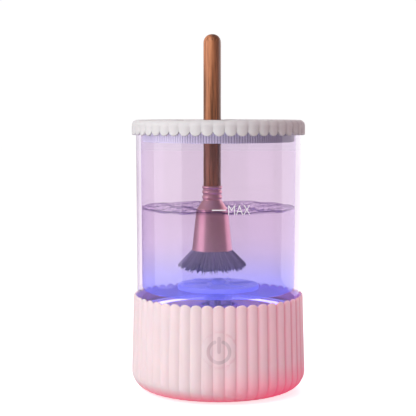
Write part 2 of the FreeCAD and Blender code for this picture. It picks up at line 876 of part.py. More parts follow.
def make_charge_board():
    board = block("charge_plate", ("-charge_half", "charge_half"), ("charge_front", "charge_back"),
                  ("charge_low", "charge_low + charge_thick"))
    holes = [rod(f"charge_hole{i}", "small_screw_r + shaft_play", "charge_low - overrun",
                 "charge_low + charge_thick + overrun", x, y) for i, (x, y) in enumerate(POSTS)]
    keep(cut("charge_board", board, holes), "charge_board")
    top = "charge_low + charge_thick"
    screws("board_screws", POSTS, "small_head_r", "small_screw_r", top + " + small_head", top,
           "charge_low - post_screw")
    shell = port_form("socket_shell", "port_tall / 2", "port_front", "port_back")
    hollow = port_form("socket_hollow", "port_tall / 2 - port_wall", "port_front + overrun",
                       "port_back + overrun")
    centre = top + " + port_tall / 2"
    tongue = block("socket_tongue", ("-port_tongue_half", "port_tongue_half"),
                   ("port_front + overrun", "port_back - overrun"),
                   (f"{centre} - port_tongue / 2", f"{centre} + port_tongue / 2"))
    keep(fused("usb_socket", [cut("socket_case", shell, [hollow]), tongue]), "usb_socket")


def make_control_board():
    keep(block("control_board", ("-control_half", "control_half"),
               ("control_front", "control_front + control_thick"), ("control_low", "control_top")),
         "control_board")
    back = "control_front + control_thick"
    coil_depth = (back, back + " + coil_tall")
    chips = [block("chip_driver", ("-driver_half", "driver_half"), (back, back + " + driver_tall"),
                   ("driver_low", "driver_top")),
             block("chip_coil", ("-coil_far", "-coil_near"), coil_depth, ("coil_low", "coil_top")),
             block("chip_store", ("coil_near", "coil_far"), coil_depth, ("coil_low", "coil_top"))]
    keep(grouped("board_chips", chips), "board_chips")
    half = "switch_side / 2"
    case = block("switch_case", (f"-{half}", half), ("control_front - switch_depth", "control_front"),
                 (f"button_z - {half}", f"button_z + {half}"))
    well = level_rod("switch_hole", "plunger_r + plunger_play", "control_front - switch_depth - overrun",
                     "control_front - switch_depth + switch_well", "button_z")
    keep(cut("tact_switch", case, [well]), "tact_switch")


def make_leads():
    motor_x = value("motor_lead_x")
    floor = value("cover_top + motor_lead_lift")
    turn = value("motor_lead_turn")
    far = turn - value("motor_lead_slant")
    high = floor + value("motor_lead_rise")
    face = value("control_front + control_thick")
    pairs = []
    for x in (motor_x, -motor_x):
        pairs.append(lead([FreeCAD.Vector(x, 0, value("motor_cap_low")), FreeCAD.Vector(x, 0, floor),
                           FreeCAD.Vector(x, turn, floor), FreeCAD.Vector(x, far, high),
                           FreeCAD.Vector(x, face, high)]))
    keep(feature("motor_leads", Part.makeCompound(pairs)), "motor_leads")
    rest_y = value("battery_y")
    board_y = value("cell_lead_y")
    exit_z = value("battery_axis + cell_lead_up")
    over = value("battery_axis + battery_r + cell_lead_over")
    sag = value("cell_lead_sag")
    pairs = []
    for side in (1, -1):
        end = side * value("battery_length / 2")
        out = side * value("battery_length / 2 + cell_lead_out")
        x = side * value("cell_lead_x")
        pairs.append(lead([FreeCAD.Vector(end, rest_y, exit_z), FreeCAD.Vector(out, rest_y, exit_z),
                           FreeCAD.Vector(out, rest_y, over), FreeCAD.Vector(x, board_y, over - sag),
                           FreeCAD.Vector(x, board_y, value("charge_low"))]))
    keep(feature("battery_leads", Part.makeCompound(pairs)), "battery_leads")


# Power button --------------------------------------------------------------------------------

def make_button():
    """A round cap cut from the same fluted form as the base, with a lip behind the wall."""
    skin = feature("button_skin", make_base_skin())
    plug = level_rod("button_plug", "button_r", "-base_wide_r - overrun", "button_flange_back",
                     "button_z")
    face = common("button_face", [skin, plug])
    lip = level_rod("button_lip", "button_flange_r", "button_flange_front", "button_flange_back",
                    "button_z")
    pocket = level_rod("button_pocket", "button_pocket_r", "button_pocket_front",
                       "button_flange_back + overrun", "button_z")
    cap = cut("button_cap", fused("button_solid", [face, lip]), [pocket])
    stem = level_rod("button_stem", "stem_r", "button_pocket_front - stem_root", "stem_back", "button_z")
    body = fused("button_body", [cap, stem])
    symbol = icon_prism()
    keep(cut("power_button", body, [symbol]), "power_button")
    outer = feature("icon_skin", make_icon_skin())
    keep(common("power_icon", [icon_prism("icon"), outer]), "power_icon")
    keep(level_rod("switch_plunger", "plunger_r", "stem_back", "plunger_back", "button_z"),
         "switch_plunger")


def make_icon_skin():
    """The fluted form just proud of the base, which the symbol is trimmed by."""
    proud = value("icon_proud")
    low = (value("base_wide_r") + proud, value("flute_depth"), value("base_low + base_round"))
    high = (value("base_rim_r") + proud, value("flute_depth"), value("base_rim"))
    return fluted_solid([high, low])


def icon_prism(prefix="button_icon"):
    """A ring open at the top with a bar through the gap, sunk into the button's face."""
    depth = ("-base_wide_r - overrun", "icon_back")
    disc = level_rod(prefix + "_disc", "icon_r", *depth, "button_z - icon_line / 2")
    core = level_rod(prefix + "_core", "icon_r - icon_line", *depth, "button_z - icon_line / 2")
    gap = block(prefix + "_gap", ("-icon_gap / 2", "icon_gap / 2"), depth,
                ("button_z - icon_line / 2", "button_z + icon_r + overrun"))
    bar = block(prefix + "_bar", ("-icon_line / 2", "icon_line / 2"), depth,
                ("button_z - icon_line / 2", "button_z - icon_line / 2 + icon_bar"))
    return fused(prefix + "_sign", [cut(prefix + "_arc", disc, [core, gap]), bar])


# Bottom --------------------------------------------------------------------------------------

def make_bottom():
    radius = "mouth_r - cover_play"
    plate = rod("cover_plate", radius, "base_low", "cover_top")
    posts = [rod(f"cover_post{i}", "post_r", "cover_top - overrun", "charge_low", x, y)
             for i, (x, y) in enumerate(POSTS)]
    drills = []
    for i, (x, y) in enumerate(BOSSES):
        drills.append(rod(f"cover_hole{i}", "screw_hole_r", "base_low - overrun",
                          "cover_top + overrun", x, y))
        drills.append(rod(f"cover_sink{i}", "screw_head_r + screw_head_play", "base_low - overrun",
                          "base_low + screw_sink", x, y))
    for i, (x, y) in enumerate(POSTS):
        drills.append(rod(f"cover_pilot{i}", "small_screw_r", "charge_low - post_screw", "charge_low",
                          x, y))
    feet = []
    for i, (x, y) in enumerate(ring_spots("foot_ring_r", "foot_count")):
        drills.append(rod(f"cover_seat{i}", "foot_r + foot_play", "base_low - overrun",
                          "base_low + foot_sink", x, y))
        feet.append(rod(f"foot{i}", "foot_r", "0", "base_low + foot_sink", x, y))
    keep(cut("bottom_cover", fused("cover_solid", [plate] + posts), drills), "bottom_cover")
    keep(grouped("foot_pads", feet), "foot_pads")
    screws("cover_screws", BOSSES, "screw_head_r", "screw_r", "base_low + screw_head_lift",
           "base_low + screw_sink", "screw_reach")


# Cup and scrub disc --------------------------------------------------------------------------

def make_cup():
    body = turned("cup", [("cup_skirt_r", "seat_top"), ("cup_low_r", "seat_top"),
                          ("cup_top_r", "cup_top"), ("cup_top_r - cup_wall", "cup_top"),
                          ("cup_low_r - cup_wall", "cup_floor"), ("neck_r", "cup_floor"),
                          ("neck_r", "neck_top"), ("bush_r", "neck_top"),
                          ("bush_r", "cup_under"), ("cup_skirt_r", "cup_under")])
    round_edges(body, "cup_floor_round", [("cup_low_r - cup_wall", "cup_floor")])
    round_edges(body, "cup_lip_round", [("cup_top_r", "cup_top"), ("cup_top_r - cup_wall", "cup_top"),
                                        ("cup_low_r", "seat_top")])
    keep(body, "cup")
    inner = "spindle_r + shaft_play"
    keep(ring("shaft_bush", inner, "bush_r", "cup_under", "bush_top"), "shaft_bush")
    keep(ring("shaft_seal", inner, "bush_r", "bush_top", "neck_top"), "shaft_seal")


def make_disc():
    keep(rod("impeller_shaft", "spindle_r", "driven_plate_low", "spindle_top"), "impeller_shaft")
    body = turned("scrub_disc", [("disc_well_r", "disc_low"), ("disc_r", "disc_low"),
                                 ("disc_r", "disc_top - disc_edge"), ("disc_r - disc_edge", "disc_top"),
                                 ("spindle_r", "disc_top"), ("spindle_r", "disc_ceiling"),
                                 ("disc_well_r", "disc_ceiling")])
    outline = sketch_on(body, "XY_Plane", "disc_top")
    half = "ridge_width / 2"
    draw_outline(outline, [("ridge_start", f"-{half}"), ("ridge_end", f"-{half}"),
                           ("ridge_end", half), ("ridge_start", half)])
    around(body, pad(body, outline, "ridge_top - disc_top"), "ridge_count")
    keep(body, "scrub_disc")
    keep(turned("disc_nut", [("spindle_r", "disc_top"), ("nut_r", "disc_top"),
                             ("nut_r", "nut_shoulder"), ("nut_crown_r", "nut_top"), ("0", "nut_top"),
                             ("0", "spindle_top"), ("spindle_r", "spindle_top")]), "disc_nut")


# Lid -----------------------------------------------------------------------------------------

def lid_holes():
    """Every hole of the lid as (x, y, radius)."""
    rows = [("grip_ring_r", "grip_count", "grip_angle", "grip_r"),
            ("outer_ring_r", "outer_count", "wide_angle", "wide_hole_r"),
            ("outer_ring_r", "outer_count", "slim_angle", "slim_hole_r")]
    holes = []
    for ring_r, count, first, radius in rows:
        for x, y in ring_spots(ring_r, count, first):
            holes.append((x, y, radius))
    return holes


def make_lid():
    corner = value("lid_top - lid_shoulder")
    skirt = (value("lid_r"), value("flute_depth"), value("lid_low"))
    skin = fluted_solid([skirt] + rounded_sections(value("lid_r"), corner, value("lid_shoulder"), 1))
    tips = scallop_cutters(value("lid_r"), value("lid_low"), value("lid_scallop"), -1)
    form = feature("lid_skin", skin.cut(tips))
    room = rod("lid_room", "lid_skirt_r", "lid_low - overrun", "cup_top")
    dish = rod("lid_dish_cut", "lid_dish_r", "lid_top - lid_dish", "lid_top + overrun")
    shell = cut("lid_shell", form, [room, dish])
    collars = []
    drills = []
    for i, (x, y, radius) in enumerate(lid_holes()):
        collars.append(rod(f"lid_collar{i}", f"{radius} + grip_collar", "cup_top", "lid_top", x, y))
        drills.append(rod(f"lid_hole{i}", radius, "cup_top - overrun", "lid_top + overrun", x, y))
    keep(cut("lid_cap", fused("lid_solid", [shell] + collars), drills), "lid_cap")
    ribs = int(value("plug_ribs"))
    wire = fluted_wire(value("plug_r"), value("plug_rib_depth"), value("plug_low"), ribs)
    height = FreeCAD.Vector(0, 0, value("cup_top - plug_low"))
    plug = feature("plug_form", Part.Face(wire).extrude(height))
    hollow = rod("plug_hollow", "plug_in_r", "plug_low - overrun", "cup_top + overrun")
    keep(cut("lid_ring", plug, [hollow]), "lid_ring")


# Brush ---------------------------------------------------------------------------------------

def make_brush():
    handle = ring("brush_handle", "0", "handle_r", "handle_low", "handle_top")
    round_edges(handle, "handle_dome", [("handle_r", "handle_top")])
    wall = "ferrule_wall"
    neck = f"handle_r + {wall}"
    ferrule = turned("brush_ferrule", [(f"ferrule_mouth_r - {wall}", "ferrule_low"),
                                       ("ferrule_mouth_r", "ferrule_low"),
                                       ("ferrule_cone_r", "ferrule_cone"),
                                       ("ferrule_bend_r", "ferrule_bend"), (neck, "ferrule_neck"),
                                       (neck, "ferrule_top"), ("handle_r", "ferrule_top"),
                                       ("handle_r", "handle_low"),
                                       (f"ferrule_bend_r - {wall}", "ferrule_bend"),
                                       (f"ferrule_cone_r - {wall}", "ferrule_cone")])
    mouth = f"ferrule_mouth_r - {wall} - tuft_play"
    tuft = turned("brush_bristles", [("0", "tuft_low"), ("tuft_r / 2", "tuft_belly"),
                                     ("tuft_edge_r", "tuft_edge"), ("tuft_r", "tuft_side"),
                                     (mouth, "ferrule_low"), ("tuft_root_r", "tuft_root"),
                                     ("0", "tuft_root")])
    for body in (handle, ferrule, tuft):
        label = body.Name
        place(body, polar_x("grip_ring_r", "grip_angle"), polar_y("grip_ring_r", "grip_angle"), "0")
        keep(body, label)


def check_document():
    """Stops unless every object worked out and every sub-part is one or more sound solids."""
    for item in doc.Objects:
        if "Invalid" in item.State or "Error" in item.State:
            raise RuntimeError(f"{item.Name}: {item.State}")
    labels = [item.Label for item in PARTS]
    if len(set(labels)) != len(labels):
        raise RuntimeError("two sub-parts share a label")
    for item in PARTS:
        if item.Shape.isNull() or not item.Shape.isValid() or not item.Shape.Solids:
            raise RuntimeError(f"{item.Label}: its shape isn't sound")


def main():
    make_base_shell()
    make_deck_parts()
    make_motor()
    make_rotor()
    make_motor_mounting()
    make_coupling()
    make_battery()
    make_charge_board()
    make_control_board()
    make_leads()
    make_button()
    make_bottom()
    make_cup()
    make_disc()
    make_lid()
    make_brush()
    doc.recompute()
    check_document()
    os.makedirs("parts", exist_ok=True)
    for item in PARTS:
        item.Shape.exportStep(os.path.join("parts", item.Label + ".step"))
        print(f"{item.Label}: {len(item.Shape.Solids)} solids, {item.Shape.Volume:.1f} mm3")


main()
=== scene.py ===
import json
import math
import random

import bmesh
import bpy
import numpy as np
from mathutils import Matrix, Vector


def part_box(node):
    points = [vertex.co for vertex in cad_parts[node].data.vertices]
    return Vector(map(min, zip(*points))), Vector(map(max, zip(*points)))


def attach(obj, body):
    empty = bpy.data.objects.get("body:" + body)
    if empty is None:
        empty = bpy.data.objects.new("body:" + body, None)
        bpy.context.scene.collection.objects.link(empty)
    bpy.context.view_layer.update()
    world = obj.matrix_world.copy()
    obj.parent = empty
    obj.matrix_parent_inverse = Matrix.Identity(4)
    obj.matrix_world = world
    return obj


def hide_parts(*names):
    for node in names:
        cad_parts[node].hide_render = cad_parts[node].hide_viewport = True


# Looks of a rechargeable brush cleaner. Lengths are in metres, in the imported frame: +Z up, -Y front.

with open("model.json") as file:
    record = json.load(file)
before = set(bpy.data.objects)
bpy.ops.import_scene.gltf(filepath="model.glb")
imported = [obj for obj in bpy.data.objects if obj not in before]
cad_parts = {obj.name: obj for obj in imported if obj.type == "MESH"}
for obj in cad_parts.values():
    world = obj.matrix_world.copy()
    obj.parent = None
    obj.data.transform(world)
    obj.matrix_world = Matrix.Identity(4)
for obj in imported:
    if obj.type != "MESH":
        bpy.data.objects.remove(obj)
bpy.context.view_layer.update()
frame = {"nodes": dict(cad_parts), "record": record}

MM = 0.001
FLUTES = 48
LOBE_STEPS = 12
FRONT = -math.pi / 2


# Frame sizes --------

def low(node):
    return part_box(node)[0]


def high(node):
    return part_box(node)[1]


def reach(node):
    """Half of a node's width along X."""
    return 0.5 * (high(node).x - low(node).x)


def middle(node):
    return 0.5 * (low(node) + high(node))


# Mesh helpers -------

def show(item):
    """Puts an object in the scene."""
    bpy.context.scene.collection.objects.link(item)
    return item


def new_piece(name, mesh, body, slot_name, smooth_below=35.0, material=None):
    """An object for a finished mesh, smooth but for edges sharper than the angle, in the material
    of its slot unless it has its own."""
    mesh.name = name
    mesh.validate()
    for polygon in mesh.polygons:
        polygon.use_smooth = True
    mesh.set_sharp_from_angle(angle=math.radians(smooth_below))
    piece = show(bpy.data.objects.new(name, mesh))
    mesh.materials.clear()
    mesh.materials.append(material or LOOKS[slot_name])
    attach(piece, body)
    return piece


def mesh_from(points, faces):
    mesh = bpy.data.meshes.new("draft")
    mesh.from_pydata([tuple(p) for p in points], [], faces)
    mesh.update()
    return mesh


def paint(mesh, title, numbers):
    """Stores a number at each point of a mesh for its material to read."""
    layer = mesh.attributes.new(title, "FLOAT", "POINT")
    layer.data.foreach_set("value", np.asarray(numbers, dtype=np.float32))


def rings_mesh(rings, loop=True, caps=False):
    """Quads through rings of points; loop joins the last ring to the first, caps closes the ends."""
    count = len(rings[0])
    rows = len(rings)
    faces = []
    for i in range(rows if loop else rows - 1):
        a, b = i * count, ((i + 1) % rows) * count
        for j in range(count):
            k = (j + 1) % count
            faces.append((a + j, a + k, b + k, b + j))
    if caps:
        faces.append(tuple(range(count))[::-1])
        faces.append(tuple(range((rows - 1) * count, rows * count)))
    return outward(mesh_from(np.concatenate(rings), faces))


def outward(mesh):
    """Turns every face to the outside of its shell."""
    work = bmesh.new()
    work.from_mesh(mesh)
    bmesh.ops.recalc_face_normals(work, faces=work.faces)
    work.to_mesh(mesh)
    work.free()
    return mesh


def soften(corners, steps=5):
    """A closed outline of (x, y, radius) corners with each corner rounded by its radius."""
    points = []
    count = len(corners)
    for i, (x, y, radius) in enumerate(corners):
        here = np.array([x, y])
        if radius <= 0:
            points.append(here)
            continue
        back = np.array(corners[i - 1][:2]) - here
        ahead = np.array(corners[(i + 1) % count][:2]) - here
        back = back / np.linalg.norm(back)
        ahead = ahead / np.linalg.norm(ahead)
        half = 0.5 * math.acos(max(-1.0, min(1.0, float(back @ ahead))))
        run = radius / math.tan(half)
        bisector = (back + ahead) / np.linalg.norm(back + ahead)
        centre = here + bisector * radius / math.sin(half)
        first = here + back * run - centre
        last = here + ahead * run - centre
        start = math.atan2(first[1], first[0])
        turn = (math.atan2(last[1], last[0]) - start + math.pi) % (2 * math.pi) - math.pi
        for step in range(steps + 1):
            angle = start + turn * step / steps
            points.append(centre + radius * np.array([math.cos(angle), math.sin(angle)]))
    return points


def arc(centre_r, centre_z, radius, first, last, steps):
    """Points round a centre, from one angle to another, in degrees."""
    return [(centre_r + radius * math.cos(a), centre_z + radius * math.sin(a))
            for a in np.radians(np.linspace(first, last, steps + 1))]


def eased(share):
    """0 to 1 with a soft start and a soft end."""
    return share * share * (3 - 2 * share)


def lathe(outline, segments=128, at=(0.0, 0.0), loop=True, caps=False):
    """A mesh turned from (radius, height) points about an upright axis."""
    angles = FRONT + 2 * math.pi * np.arange(segments) / segments
    across, along = np.cos(angles), np.sin(angles)
    return rings_mesh([np.column_stack([at[0] + r * across, at[1] + r * along, np.full(segments, z)])
                       for r, z in outline], loop, caps)


def valleys_of(phase, chord, rise):
    """How far circular bulges on a chord fall off, from 0 at their middle to rise at their ends."""
    if rise <= 0:
        return np.zeros(len(phase))
    curve = (chord * chord / 4 + rise * rise) / (2 * rise)
    return curve - np.sqrt(curve * curve - (phase * chord) ** 2)


def fluted(rows, lobes=FLUTES, steps=LOBE_STEPS, loop=True, caps=False):
    """A mesh through rows of (radius, height, flute depth, edge shift): lobes stand out from the
    valleys by the depth, and the edge shift lifts or lowers the valleys of a scalloped edge."""
    segments = lobes * steps
    angles = FRONT + 2 * math.pi * np.arange(segments) / segments
    phase = (np.arange(segments) / steps + 0.5) % 1.0 - 0.5
    rings = []
    weights = []
    for r, z, depth, shift in rows:
        chord = 2 * math.pi * r / lobes
        inset = valleys_of(phase, chord, depth)
        radius = r - inset
        height = z + math.copysign(1.0, shift) * valleys_of(phase, chord, abs(shift))
        rings.append(np.column_stack([radius * np.cos(angles), radius * np.sin(angles), height]))
        weights.append(1.0 - inset / depth if depth > 0 else np.ones(segments))
    mesh = rings_mesh(rings, loop, caps)
    paint(mesh, "flute", np.concatenate(weights))
    return mesh


def cylinder_mesh(radius, start, end, segments):
    """A closed cylinder between two points."""
    start, end = Vector(start), Vector(end)
    turn = (end - start).to_track_quat("Z", "Y")
    rings = []
    for centre in (start, end):
        ring = [centre + turn @ Vector((radius * math.cos(a), radius * math.sin(a), 0.0))
                for a in (2 * math.pi * i / segments for i in range(segments))]
        rings.append(np.array([tuple(p) for p in ring]))
    return rings_mesh(rings, loop=False, caps=True)


def box_mesh(first, last):
    """A closed box between two corners."""
    x, y, z = ([first[i], last[i]] for i in range(3))
    lower = np.array([(x[0], y[0], z[0]), (x[1], y[0], z[0]), (x[1], y[1], z[0]), (x[0], y[1], z[0])])
    upper = lower.copy()
    upper[:, 2] = z[1]
    return rings_mesh([lower, upper], loop=False, caps=True)


def settled(holder):
    """The mesh of an object once its modifiers or its text are worked out."""
    bpy.context.view_layer.update()
    graph = bpy.context.evaluated_depsgraph_get()
    return bpy.data.meshes.new_from_object(holder.evaluated_get(graph))


def combine(base, tools, operation):
    """The mesh that a boolean of base with each tool leaves."""
    holder = show(bpy.data.objects.new("boolean_base", base))
    helpers = []
    for tool in tools:
        helper = show(bpy.data.objects.new("boolean_tool", tool))
        step = holder.modifiers.new("boolean", "BOOLEAN")
        step.operation = operation
        step.solver = "EXACT"
        step.object = helper
        helpers.append(helper)
    result = settled(holder)
    for item in [holder] + helpers:
        mesh = item.data
        bpy.data.objects.remove(item)
        bpy.data.meshes.remove(mesh)
    return result


def joined(meshes):
    """One mesh that holds several."""
    work = bmesh.new()
    for mesh in meshes:
        work.from_mesh(mesh)
        bpy.data.meshes.remove(mesh)
    result = bpy.data.meshes.new("joined")
    work.to_mesh(result)
    work.free()
    return result


# Material helpers ---

WHITE = (1.0, 1.0, 1.0)
GRAIN_STEP = 0.1 * MM


def shader(name):
    """A new material and its empty node tree."""
    material = bpy.data.materials.new(name)
    material.use_nodes = True
    tree = material.node_tree
    tree.nodes.clear()
    return material, tree


def node(tree, kind, inputs=None, **settings):
    """A shader node with its settings, and with numbers or links on its inputs."""
    item = tree.nodes.new(kind)
    for key, setting in settings.items():
        setattr(item, key, setting)
    for key, number in (inputs or {}).items():
        socket = item.inputs[key]
        if isinstance(number, bpy.types.NodeSocket):
            tree.links.new(number, socket)
        else:
            socket.default_value = number
    return item


def finish_shader(tree, surface):
    node(tree, "ShaderNodeOutputMaterial", {"Surface": surface})


def principled(tree, inputs):
    """Ends a material in a Principled surface."""
    finish_shader(tree, node(tree, "ShaderNodeBsdfPrincipled", inputs).outputs["BSDF"])


def place_texture(tree, stretch=(1.0, 1.0, 1.0)):
    """Object coordinates, stretched along each axis."""
    spot = node(tree, "ShaderNodeTexCoord").outputs["Object"]
    return node(tree, "ShaderNodeMapping", {"Vector": spot, "Scale": stretch}).outputs["Vector"]


def noise(tree, scale, detail=3.0, rough=0.5, stretch=(1.0, 1.0, 1.0)):
    return node(tree, "ShaderNodeTexNoise", {"Vector": place_texture(tree, stretch), "Scale": scale,
                                             "Detail": detail, "Roughness": rough}).outputs["Fac"]


def ranged(tree, number, first, last, out_first, out_last):
    return node(tree, "ShaderNodeMapRange", {"Value": number, "From Min": first, "From Max": last,
                                             "To Min": out_first, "To Max": out_last}).outputs["Result"]


def between(tree, share, first, last):
    """Goes from first to last as a share goes from 0 to 1."""
    return ranged(tree, share, 0.0, 1.0, first, last)


def evened(tree, cloud, first, last):
    """Goes from first to last over the values that a noise mostly has."""
    return ranged(tree, cloud, 0.3, 0.7, first, last)


def maths(tree, operation, first, second=0.0):
    return node(tree, "ShaderNodeMath", {0: first, 1: second}, operation=operation).outputs[0]


def power(tree, number, exponent):
    return maths(tree, "POWER", number, exponent)


def blended(tree, amount, first, last, kind="MIX"):
    """A colour mix; first and last are colours or sockets."""
    item = node(tree, "ShaderNodeMix", data_type="RGBA", blend_type=kind)
    for index, entry in zip((0, 6, 7), (amount, first, last)):
        socket = item.inputs[index]
        if isinstance(entry, bpy.types.NodeSocket):
            tree.links.new(entry, socket)
        elif socket.type == "RGBA":
            socket.default_value = (*entry, 1.0)
        else:
            socket.default_value = entry
    return item.outputs[2]


def times(tree, first, second):
    """The product of two colours, or of a colour and a number."""
    return blended(tree, 1.0, first, second, "MULTIPLY")


def ramped(tree, share, stops):
    """A colour ramp through stops of (position, colour)."""
    ramp = node(tree, "ShaderNodeValToRGB", {"Fac": share})
    elements = ramp.color_ramp.elements
    for index, (position, colour) in enumerate((stops[0], stops[-1])):
        elements[index].position = position
        elements[index].color = (*colour, 1.0)
    for position, colour in stops[1:-1]:
        elements.new(position).color = (*colour, 1.0)
    return ramp.outputs["Color"]


def shade(colour, factor):
    return tuple(min(1.0, c * factor) for c in colour)


def bumped(tree, height, strength, distance=GRAIN_STEP):
    return node(tree, "ShaderNodeBump", {"Height": height, "Strength": strength,
                                         "Distance": distance}).outputs["Normal"]


def axis_share(tree, axis, first, last):
    """0 at one place along an axis of the object and 1 at another."""
    spot = node(tree, "ShaderNodeTexCoord").outputs["Object"]
    along = node(tree, "ShaderNodeSeparateXYZ", {"Vector": spot}).outputs[axis]
    return ranged(tree, along, first, last, 0.0, 1.0)


def painted(tree, title):
    """The numbers that paint stored in the mesh."""
    return node(tree, "ShaderNodeAttribute", attribute_name=title).outputs["Fac"]


def glancing(tree):
    """0 where a surface is seen square on, 1 where it is seen edge on."""
    return node(tree, "ShaderNodeLayerWeight", {"Blend": 0.5}).outputs["Facing"]


def see_through(tree, tint, share, mirror):
    """Straight tinted light, with a share of it mirrored instead."""
    through = node(tree, "ShaderNodeBsdfTransparent", {"Color": tint}).outputs[0]
    gloss = node(tree, "ShaderNodeBsdfGlossy", mirror).outputs[0]
    return node(tree, "ShaderNodeMixShader", {0: share, 1: through, 2: gloss}).outputs[0]


def moulded(name, colour, rough=0.5, grain=9000.0, depth=0.05, coat=0.0, metal=0.0):
    """Moulded plastic, rubber or cast metal: a faint cloudy tone, fine texture, uneven gloss."""
    material, tree = shader(name)
    cloud = evened(tree, noise(tree, 90.0, 4.0), 0.0, 1.0)
    gloss = evened(tree, noise(tree, 400.0), rough - 0.05, rough + 0.05)
    principled(tree, {
        "Base Color": blended(tree, cloud, shade(colour, 0.94), shade(colour, 1.04)),
        "Roughness": gloss, "Metallic": metal, "Coat Weight": coat, "Coat Roughness": 0.15,
        "Normal": bumped(tree, noise(tree, grain, 2.0), depth)})
    return material


# SIDE_END is where the painted left-to-right light and shade of fluted skins ends.
SIDE_END = 43 * MM
# How far the painted pink glow at the base's lower edge reaches up, and where it spreads across.
PAINTED_GLOW_EDGE = 7 * MM
PAINTED_GLOW_FALL = 19 * MM
PAINTED_GLOW_SIDE = (-14 * MM, 32 * MM)


def fluted_skin(name, colours, valleys, rough, painted_edge_glow=None, soft=0.0, start=-20 * MM, glow=None):
    """Satin skin of a fluted piece: its tone and that of its valleys change along X, as painted light and
    shade: lighter on the left, more shaded on the right, with painted shade in the valleys. A given tone
    and height paint a pink glow into its lower edge, and glow paints light on its crests."""
    material, tree = shader(name)
    # Painted light and shade: the tone goes from the lighter left colour to the more shaded right colour
    # along X.
    side = axis_share(tree, "X", start, SIDE_END)
    crown = ranged(tree, painted(tree, "flute"), 0.0, 0.7, 0.0, 1.0)
    # Painted shade in the valleys between flutes, none on the left and growing to the right.
    painted_valley_shade = blended(tree, crown, blended(tree, side, *valleys), WHITE)
    tone = times(tree, blended(tree, side, *colours), painted_valley_shade)
    painted_emission = {}
    # Painted glow: a saturated pink tone and pink emission at the lower edge, spreading higher towards the
    # right.
    if painted_edge_glow:
        painted_glow_colour, bottom = painted_edge_glow
        edge = between(tree, axis_share(tree, "Z", bottom, bottom + PAINTED_GLOW_EDGE), 0.8, 0.0)
        fall = between(tree, axis_share(tree, "Z", bottom, bottom + PAINTED_GLOW_FALL), 1.0, 0.0)
        wide = maths(tree, "MULTIPLY", power(tree, fall, 1.2), axis_share(tree, "X", *PAINTED_GLOW_SIDE))
        share = maths(tree, "MAXIMUM", edge, wide)
        tone = blended(tree, share, tone, painted_glow_colour)
        painted_emission = {"Emission Color": (*painted_glow_colour, 1.0),
                   "Emission Strength": between(tree, power(tree, share, 1.5), 0.0, 0.4)}
    if glow:
        # Painted light: emission on the ring's rib crests, bright on the left and fading to the right.
        lines = maths(tree, "MULTIPLY", crown, between(tree, side, 0.32, 0.02))
        painted_emission = {"Emission Color": (*glow, 1.0), "Emission Strength": lines}
    cloud = evened(tree, noise(tree, 60.0, 4.0), 0.97, 1.02)
    gloss = evened(tree, noise(tree, 500.0), rough - 0.06, rough + 0.06)
    principled(tree, {
        "Base Color": times(tree, tone, cloud), "Roughness": gloss, "Subsurface Weight": soft,
        "Subsurface Scale": 3 * MM, "Normal": bumped(tree, noise(tree, 7000.0, 2.0), 0.06), **painted_emission})
    return material


def clear_shell(name, face_tint, edge_tint, gloss=0.02):
    """Clear tinted plastic: it lets straight light through, deeper coloured where it is seen edge on,
    and mirrors more at a glance, most of all on its outside."""
    material, tree = shader(name)
    facing = glancing(tree)
    tint = blended(tree, power(tree, facing, 3.0), face_tint, edge_tint)
    wear = ranged(tree, noise(tree, 300.0), 0.35, 0.75, gloss, gloss + 0.03)
    whole = between(tree, power(tree, facing, 5.0), 0.05, 0.5)
    share = maths(tree, "MULTIPLY", whole, between(tree, painted(tree, "outside"), 0.25, 1.0))
    finish_shader(tree, see_through(tree, tint, share, {"Color": (*WHITE, 1.0), "Roughness": wear}))
    return material


def water_body(name, bottom, top):
    """Water with painted light from below: blue-violet at the floor, fading to a lavender tint, with a
    painted glow of the same colours near the floor. Its top with its painted ripple shade, and the painted
    dark line round its edge, come from attributes."""
    material, tree = shader(name)
    share = axis_share(tree, "Z", bottom, top)
    # Painted light from below: the tint is blue-violet near the floor and fades upward.
    body = ramped(tree, share, ((0.0, (0.64, 0.69, 0.94)), (0.3, (0.79, 0.80, 0.91)),
                                (0.55, (0.91, 0.88, 0.94)), (1.0, (0.935, 0.900, 0.955))))
    swirl = noise(tree, 760.0, 4.0, 0.62, (1.0, 0.45, 1.0))
    contour = maths(tree, "ABSOLUTE", maths(tree, "SUBTRACT", swirl, 0.5))
    # Painted ripple shade: dark wavy lines tinted into the water's top.
    painted_ripple_shade = blended(tree, ranged(tree, contour, 0.0, 0.08, 0.0, 1.0), (0.50, 0.41, 0.64),
                     (1.0, 0.97, 1.0))
    tint = blended(tree, painted(tree, "top"), body, painted_ripple_shade)
    # Painted shade: a dark line round the water's edge at the wall.
    tint = blended(tree, painted(tree, "rim"), tint, (0.36, 0.27, 0.46))
    mirrored = between(tree, power(tree, glancing(tree), 5.0), 0.01, 0.5)
    clear = see_through(tree, tint, mirrored, {
        "Color": (0.88, 0.82, 0.98, 1.0), "Roughness": 0.03, "Normal": bumped(tree, swirl, 0.5, MM)})
    # Painted glow: blue emission that fades upward from the floor.
    fade = power(tree, maths(tree, "SUBTRACT", 1.0, share), 2.8)
    glow = node(tree, "ShaderNodeEmission", {"Color": (0.22, 0.28, 1.0, 1.0),
                                             "Strength": between(tree, fade, 0.0, 0.24)})
    surface = node(tree, "ShaderNodeAddShader", {0: clear, 1: glow.outputs[0]})
    finish_shader(tree, surface.outputs[0])
    return material


